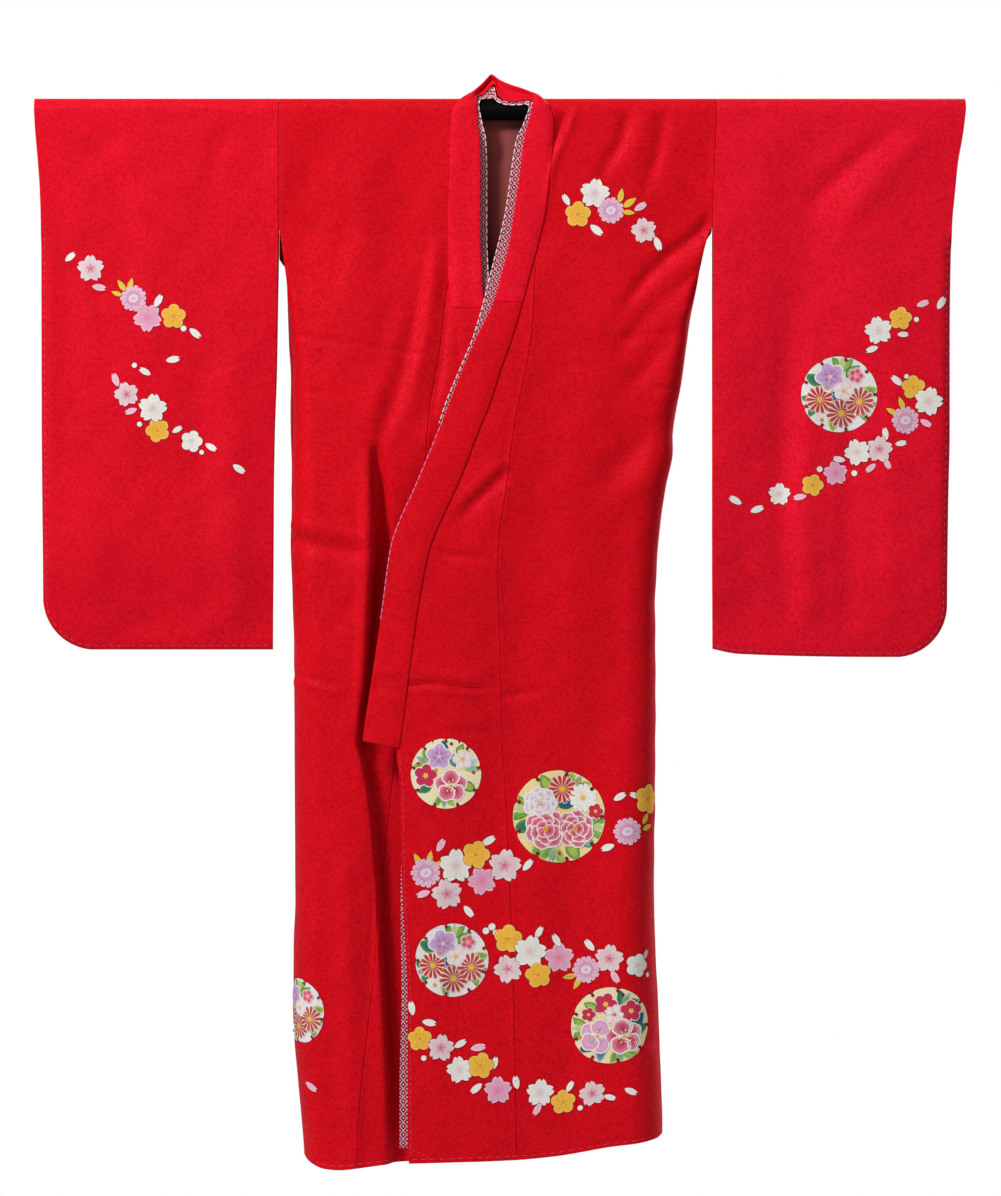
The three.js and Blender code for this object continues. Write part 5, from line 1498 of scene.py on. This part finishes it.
def paint_material():
    m, nt, b = material("painted_flowers")
    tc = add(nt, "ShaderNodeTexCoord")
    at = add(nt, "ShaderNodeAttribute", attribute_name="paint")
    fine = noise(nt, tc.outputs["Object"], 420.0, 3.0, 0.6)
    soft = ramp(nt, fine.outputs["Fac"], [(0.3, 0.86), (0.7, 1.02)])
    nt.links.new(mix_col(nt, 1.0, at.outputs["Color"], soft.outputs["Color"], "MULTIPLY"), b.inputs["Base Color"])
    b.inputs["Roughness"].default_value = 0.62
    b.inputs["Specular IOR Level"].default_value = 0.2
    nt.links.new(bump(nt, fine.outputs["Fac"], 0.25, 0.0005), b.inputs["Normal"])
    return m


def lattice_material():
    """Woven lattice of small lozenges, pale on a dark ground, with a dot in each."""
    m, nt, b = material("lattice_silk")
    uv = add(nt, "ShaderNodeUVMap", uv_map="cloth")
    sep = add(nt, "ShaderNodeSeparateXYZ")
    nt.links.new(uv.outputs["UV"], sep.inputs[0])
    u, v = math_node(nt, "MULTIPLY", sep.outputs[0], 0.86), math_node(nt, "MULTIPLY", sep.outputs[1], 1.0)
    a = math_node(nt, "FRACT", math_node(nt, "ADD", u, v))
    c = math_node(nt, "FRACT", math_node(nt, "ADD", math_node(nt, "SUBTRACT", u, v), 50.0))
    da = math_node(nt, "ABSOLUTE", math_node(nt, "SUBTRACT", a, 0.5))
    dc = math_node(nt, "ABSOLUTE", math_node(nt, "SUBTRACT", c, 0.5))
    line = math_node(nt, "GREATER_THAN", math_node(nt, "MAXIMUM", da, dc), 0.40)
    spot = math_node(nt, "LESS_THAN", math_node(nt, "MAXIMUM", da, dc), 0.14)
    col = mix_col(nt, line, S(122, 8, 36), S(218, 154, 168))
    col = mix_col(nt, spot, col, S(236, 190, 196))
    tc = add(nt, "ShaderNodeTexCoord")
    fine = noise(nt, tc.outputs["Object"], 500.0, 2.0, 0.6)
    soft = ramp(nt, fine.outputs["Fac"], [(0.3, 0.82), (0.7, 1.05)])
    col = mix_col(nt, 1.0, col, soft.outputs["Color"], "MULTIPLY")
    nt.links.new(col, b.inputs["Base Color"])
    b.inputs["Roughness"].default_value = 0.7
    b.inputs["Specular IOR Level"].default_value = 0.15
    nt.links.new(bump(nt, fine.outputs["Fac"], 0.3, 0.0004), b.inputs["Normal"])
    return m


# Lining colour with painted shade: the lining is given a dusky red-brown, far darker than the pale cloth it stands for,
# as painted shade for the dim inside of the neck. Its colour runs from a lighter red at -x, where the collar shades it,
# to a greyer, less red brown at +x, where the key light reaches it; this is painted light and shade that evens out that
# light. The fine noise is the silk's own uneven tone.
def lining_material_painted_shade():
    m, nt, b = material("lining_silk_painted_shade")
    tc = add(nt, "ShaderNodeTexCoord")
    sep = add(nt, "ShaderNodeSeparateXYZ")
    nt.links.new(tc.outputs["Object"], sep.inputs[0])
    across = math_node(nt, "MULTIPLY", math_node(nt, "ADD", sep.outputs[0], 0.04), 12.0)
    fine = noise(nt, tc.outputs["Object"], 60.0, 3.0, 0.6)
    mixf = math_node(nt, "ADD", across, math_node(nt, "MULTIPLY", math_node(nt, "SUBTRACT", fine.outputs["Fac"], 0.5), 0.5))
    col = ramp(nt, mixf, [(0.0, S(160, 56, 54)), (0.45, S(142, 60, 57)), (1.0, S(126, 76, 72))])
    nt.links.new(col.outputs["Color"], b.inputs["Base Color"])
    b.inputs["Roughness"].default_value = 0.75
    b.inputs["Specular IOR Level"].default_value = 0.2
    weave = noise(nt, tc.outputs["Object"], 1200.0, 2.0, 0.5)
    nt.links.new(bump(nt, weave.outputs["Fac"], 0.3, 0.0003), b.inputs["Normal"])
    return m


def lacquer():
    m, nt, b = material("rod_lacquer_black")
    tc = add(nt, "ShaderNodeTexCoord")
    fine = noise(nt, tc.outputs["Object"], 30.0, 4.0, 0.6)
    col = ramp(nt, fine.outputs["Fac"], [(0.3, S(1, 1, 1)), (0.7, S(5, 5, 5))])
    nt.links.new(col.outputs["Color"], b.inputs["Base Color"])
    rough = ramp(nt, fine.outputs["Fac"], [(0.3, 0.50), (0.7, 0.62)])
    nt.links.new(rough.outputs["Color"], b.inputs["Roughness"])
    b.inputs["Specular IOR Level"].default_value = 0.05
    nt.links.new(bump(nt, noise(nt, tc.outputs["Object"], 180.0, 3.0, 0.5).outputs["Fac"], 0.08, 0.0005), b.inputs["Normal"])
    return m


def thread_material():
    m, nt, b = material("tacking_thread")
    tc = add(nt, "ShaderNodeTexCoord")
    fine = noise(nt, tc.outputs["Object"], 800.0, 2.0, 0.5)
    col = ramp(nt, fine.outputs["Fac"], [(0.3, S(206, 66, 122)), (0.7, S(232, 128, 172))])
    nt.links.new(col.outputs["Color"], b.inputs["Base Color"])
    b.inputs["Roughness"].default_value = 0.8
    b.inputs["Specular IOR Level"].default_value = 0.1
    nt.links.new(bump(nt, fine.outputs["Fac"], 0.4, 0.0003), b.inputs["Normal"])
    return m


def plain_floor():
    m, nt, b = material("stage_floor")
    b.inputs["Base Color"].default_value = (0.66, 0.66, 0.65, 1)
    b.inputs["Roughness"].default_value = 0.9
    b.inputs["Specular IOR Level"].default_value = 0.1
    return m


# ----------------------------------------------------------------- assembly
# All four red silks are one cloth. Their copies differ only in brightness, as painted light and shade for how light
# falls on each piece: the body is darkest, then the sleeve, then the over-collar, and the left sleeve is painted
# lightest.
RED_BODY = red_silk("red_silk_body", S(180, 4, 11), S(224, 14, 28))
RED_SLEEVE = red_silk("red_silk_sleeve", S(186, 5, 17), S(228, 17, 38))
RED_SLEEVE_L_PAINTED_LIGHTER = red_silk("red_silk_sleeve_left_painted_lighter", S(194, 7, 22), S(238, 21, 46))
RED_COLLAR = red_silk("red_silk_collar", S(190, 6, 18), S(234, 19, 41))
PAINTED, LATTICE, LINING_PAINTED_SHADE = paint_material(), lattice_material(), lining_material_painted_shade()
THREAD, LACQUER = thread_material(), lacquer()


def piece(o, mat, nodes=()):
    o.data.materials.clear()
    o.data.materials.append(mat)
    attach(o, "root")
    if nodes:
        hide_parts(*nodes)
    return o


body_r = piece(body_panel("right"), RED_BODY, ["body_right"])
body_l = piece(body_panel("left"), RED_BODY, ["body_left"])
okumi_r = piece(okumi_panel("right"), RED_BODY, ["okumi_right"])
okumi_l = piece(okumi_panel("left"), RED_BODY, ["okumi_left"])
sleeve_r = piece(sleeve("right"), RED_SLEEVE, ["sleeve_right"])
sleeve_l = piece(sleeve("left"), RED_SLEEVE_L_PAINTED_LIGHTER, ["sleeve_left"])
collar_r = piece(collar_end("right"), RED_BODY, ["collar_right"])
collar_l = piece(collar_end("left"), RED_BODY, ["collar_left"])
collar_o = piece(over_collar(), RED_COLLAR, ["over_collar"])
strip_n = piece(under_collar(), LATTICE, ["under_collar"])
strip_f = piece(front_strip(), LATTICE, ["front_strip"])
lining = piece(neck_lining(), LINING_PAINTED_SHADE, ["neck_lining"])

m_sr = piece(paint_motifs("flowers_sleeve_right", MOTIFS["sleeve_right"], place_sleeve("right", "front"), -1), PAINTED)
m_sl = piece(paint_motifs("flowers_sleeve_left", MOTIFS["sleeve_left"], place_sleeve("left", "front"), -1), PAINTED)
m_fl = piece(paint_motifs("flowers_front_left", MOTIFS["front_left"], place_front("left"), -1), PAINTED)
m_fr = piece(paint_motifs("flowers_front_right", MOTIFS["front_right"], place_front("right"), -1), PAINTED)
m_bk = piece(paint_motifs("flowers_back", MOTIFS["back"], place_back, 1), PAINTED)
m_srb = piece(paint_motifs("flowers_sleeve_right_back", MOTIFS["sleeve_right_back"], place_sleeve("right", "back"), 1), PAINTED)
m_slb = piece(paint_motifs("flowers_sleeve_left_back", MOTIFS["sleeve_left_back"], place_sleeve("left", "back"), 1), PAINTED)


def sleeve_edge_line(side):
    """Round a sleeve's outer edge, corner and bottom, 4 mm in from the edge."""
    s, low = SIGN[side], SLEEVE_LOW[side]
    pts = []
    for z in np.linspace(CUFF_END[side] - 4, low + SLEEVE_CORNER, 40):
        pts.append((float(SLEEVE[side]["outer"](z)) + s * 5.0, z))
    ox = float(SLEEVE[side]["outer"](low + 20))
    for a in np.linspace(0, math.pi / 2, 14):
        r = SLEEVE_CORNER - 5.0
        pts.append((ox + s * (SLEEVE_CORNER - r * math.cos(a)), low + SLEEVE_CORNER - r * math.sin(a)))
    inner = float(SLEEVE[side]["inner"](low)) - s * 6
    for x in np.linspace(pts[-1][0], inner, 20)[1:]:
        pts.append((float(x), low + 5.0))
    return pts


def hem_run(x0, x1):
    return [(float(x), HEM + 5.5) for x in np.linspace(x0, x1, 30)]


def okumi_edge_run():
    return [(float(OKUMI["left"]["free"](z)) + 4.0, float(z)) for z in np.linspace(-900, HEM + 7, 60)]


def corner_run():
    """The slanting line of stitches that holds the mitred corner."""
    return [(mix(-122.0, -94.0, t_), mix(-1445.0, -1458.5, t_)) for t_ in np.linspace(0, 1, 8)]


th_sr = piece(stitches("tacking_sleeve_right", [(place_sleeve("right", "front"), -1, sleeve_edge_line("right"), 6.5, 4.5)], None), THREAD)
th_sl = piece(stitches("tacking_sleeve_left", [(place_sleeve("left", "front"), -1, sleeve_edge_line("left"), 6.5, 4.5)], None), THREAD)
th_fl = piece(stitches("tacking_front_left", [
    (place_front("left"), -1, hem_run(-122, 222), 8, 5),
    (place_front("left"), -1, okumi_edge_run(), 6.0, 3.6),
    (place_front("left"), -1, corner_run(), 5.0, 3.0)], None), THREAD)
th_fr = piece(stitches("tacking_front_right", [
    (place_front("right"), -1, hem_run(-262, -128), 8, 5)], None), THREAD)

bead = [S(250, 230, 230), S(250, 230, 230), S(170, 32, 62)]
ed_n = piece(edging("edging_neck", strip_edge(), 0.75, bead), PAINTED)
ed_r = piece(edging("edging_neck_back", strip_root(), 0.55, bead), PAINTED)
ed_c = piece(edging("edging_collar", collar_edge(), 0.55, [S(255, 158, 196), S(255, 132, 180), S(224, 44, 92)]), PAINTED)

for o in bpy.data.objects:
    if o.name == "rod" or o.name.startswith("rod."):
        for slot_ in o.material_slots:
            slot_.material = LACQUER

# --------------------------------------------------------- stage, light, camera
t = np.linspace(0, 2 * math.pi, 96, endpoint=False)
ring = np.stack([1900 * np.cos(t), 1900 * np.sin(t), np.full(96, -2000.0)], -1)
fv = np.concatenate([[[0, 0, -2000.0]], ring])
ff = np.stack([np.zeros(96, int), 1 + np.arange(96), 1 + (np.arange(96) + 1) % 96], -1)
floor = make_mesh("floor", fv, ff)
floor.data.materials.append(plain_floor())


def area(name, loc, at, size, power, colour=(1, 1, 1)):
    l = bpy.data.lights.new(name, "AREA")
    l.shape = "RECTANGLE"
    l.size, l.size_y = size
    l.energy = power
    l.color = colour
    o = bpy.data.objects.new(name, l)
    o.location = loc
    from mathutils import Vector
    o.rotation_euler = (Vector(at) - Vector(loc)).to_track_quat("-Z", "Y").to_euler()
    bpy.context.scene.collection.objects.link(o)
    return o


area("key", (-2.9, -3.1, 2.5), (0.0, 0.0, -0.45), (0.9, 0.9), 232)
area("top", (-1.0, -2.1, 2.0), (0.0, 0.0, -0.3), (1.4, 0.8), 20)
area("fill", (3.6, -4.4, 0.6), (0.0, 0.0, -0.6), (2.6, 2.6), 20)
area("rear", (2.8, 3.4, 2.5), (0.0, 0.0, -0.5), (1.3, 1.3), 280)

world = bpy.data.worlds.new("studio")
bpy.context.scene.world = world
world.use_nodes = True
wn = world.node_tree
bg = wn.nodes["Background"]
wpath = wn.nodes.new("ShaderNodeLightPath")           # white backdrop, weaker as a light
wmix = wn.nodes.new("ShaderNodeMix")
wmix.data_type = "RGBA"
wn.links.new(wpath.outputs["Is Camera Ray"], wmix.inputs[0])
wmix.inputs[6].default_value = (0.25, 0.25, 0.255, 1)
wmix.inputs[7].default_value = (1, 1, 1, 1)
wn.links.new(wmix.outputs[2], bg.inputs["Color"])
bg.inputs["Strength"].default_value = 1.0

bpy.context.scene.view_settings.view_transform = "Standard"
bpy.context.scene.view_settings.look = "None"

cam = bpy.data.cameras.new("camera")
cam.sensor_width = 36.0
cam.sensor_fit = "AUTO"
DIST = 9.0
cam.lens = 36.0 * (DIST - 0.03) / (1196 * U / 1000.0)
cam.clip_end = 100
co = bpy.data.objects.new("camera", cam)
co.location = (0.0, -DIST, ((97 - 598) * U + 16.3) / 1000.0)
co.rotation_euler = (math.pi / 2, 0, 0)
bpy.context.scene.collection.objects.link(co)
bpy.context.scene.camera = co
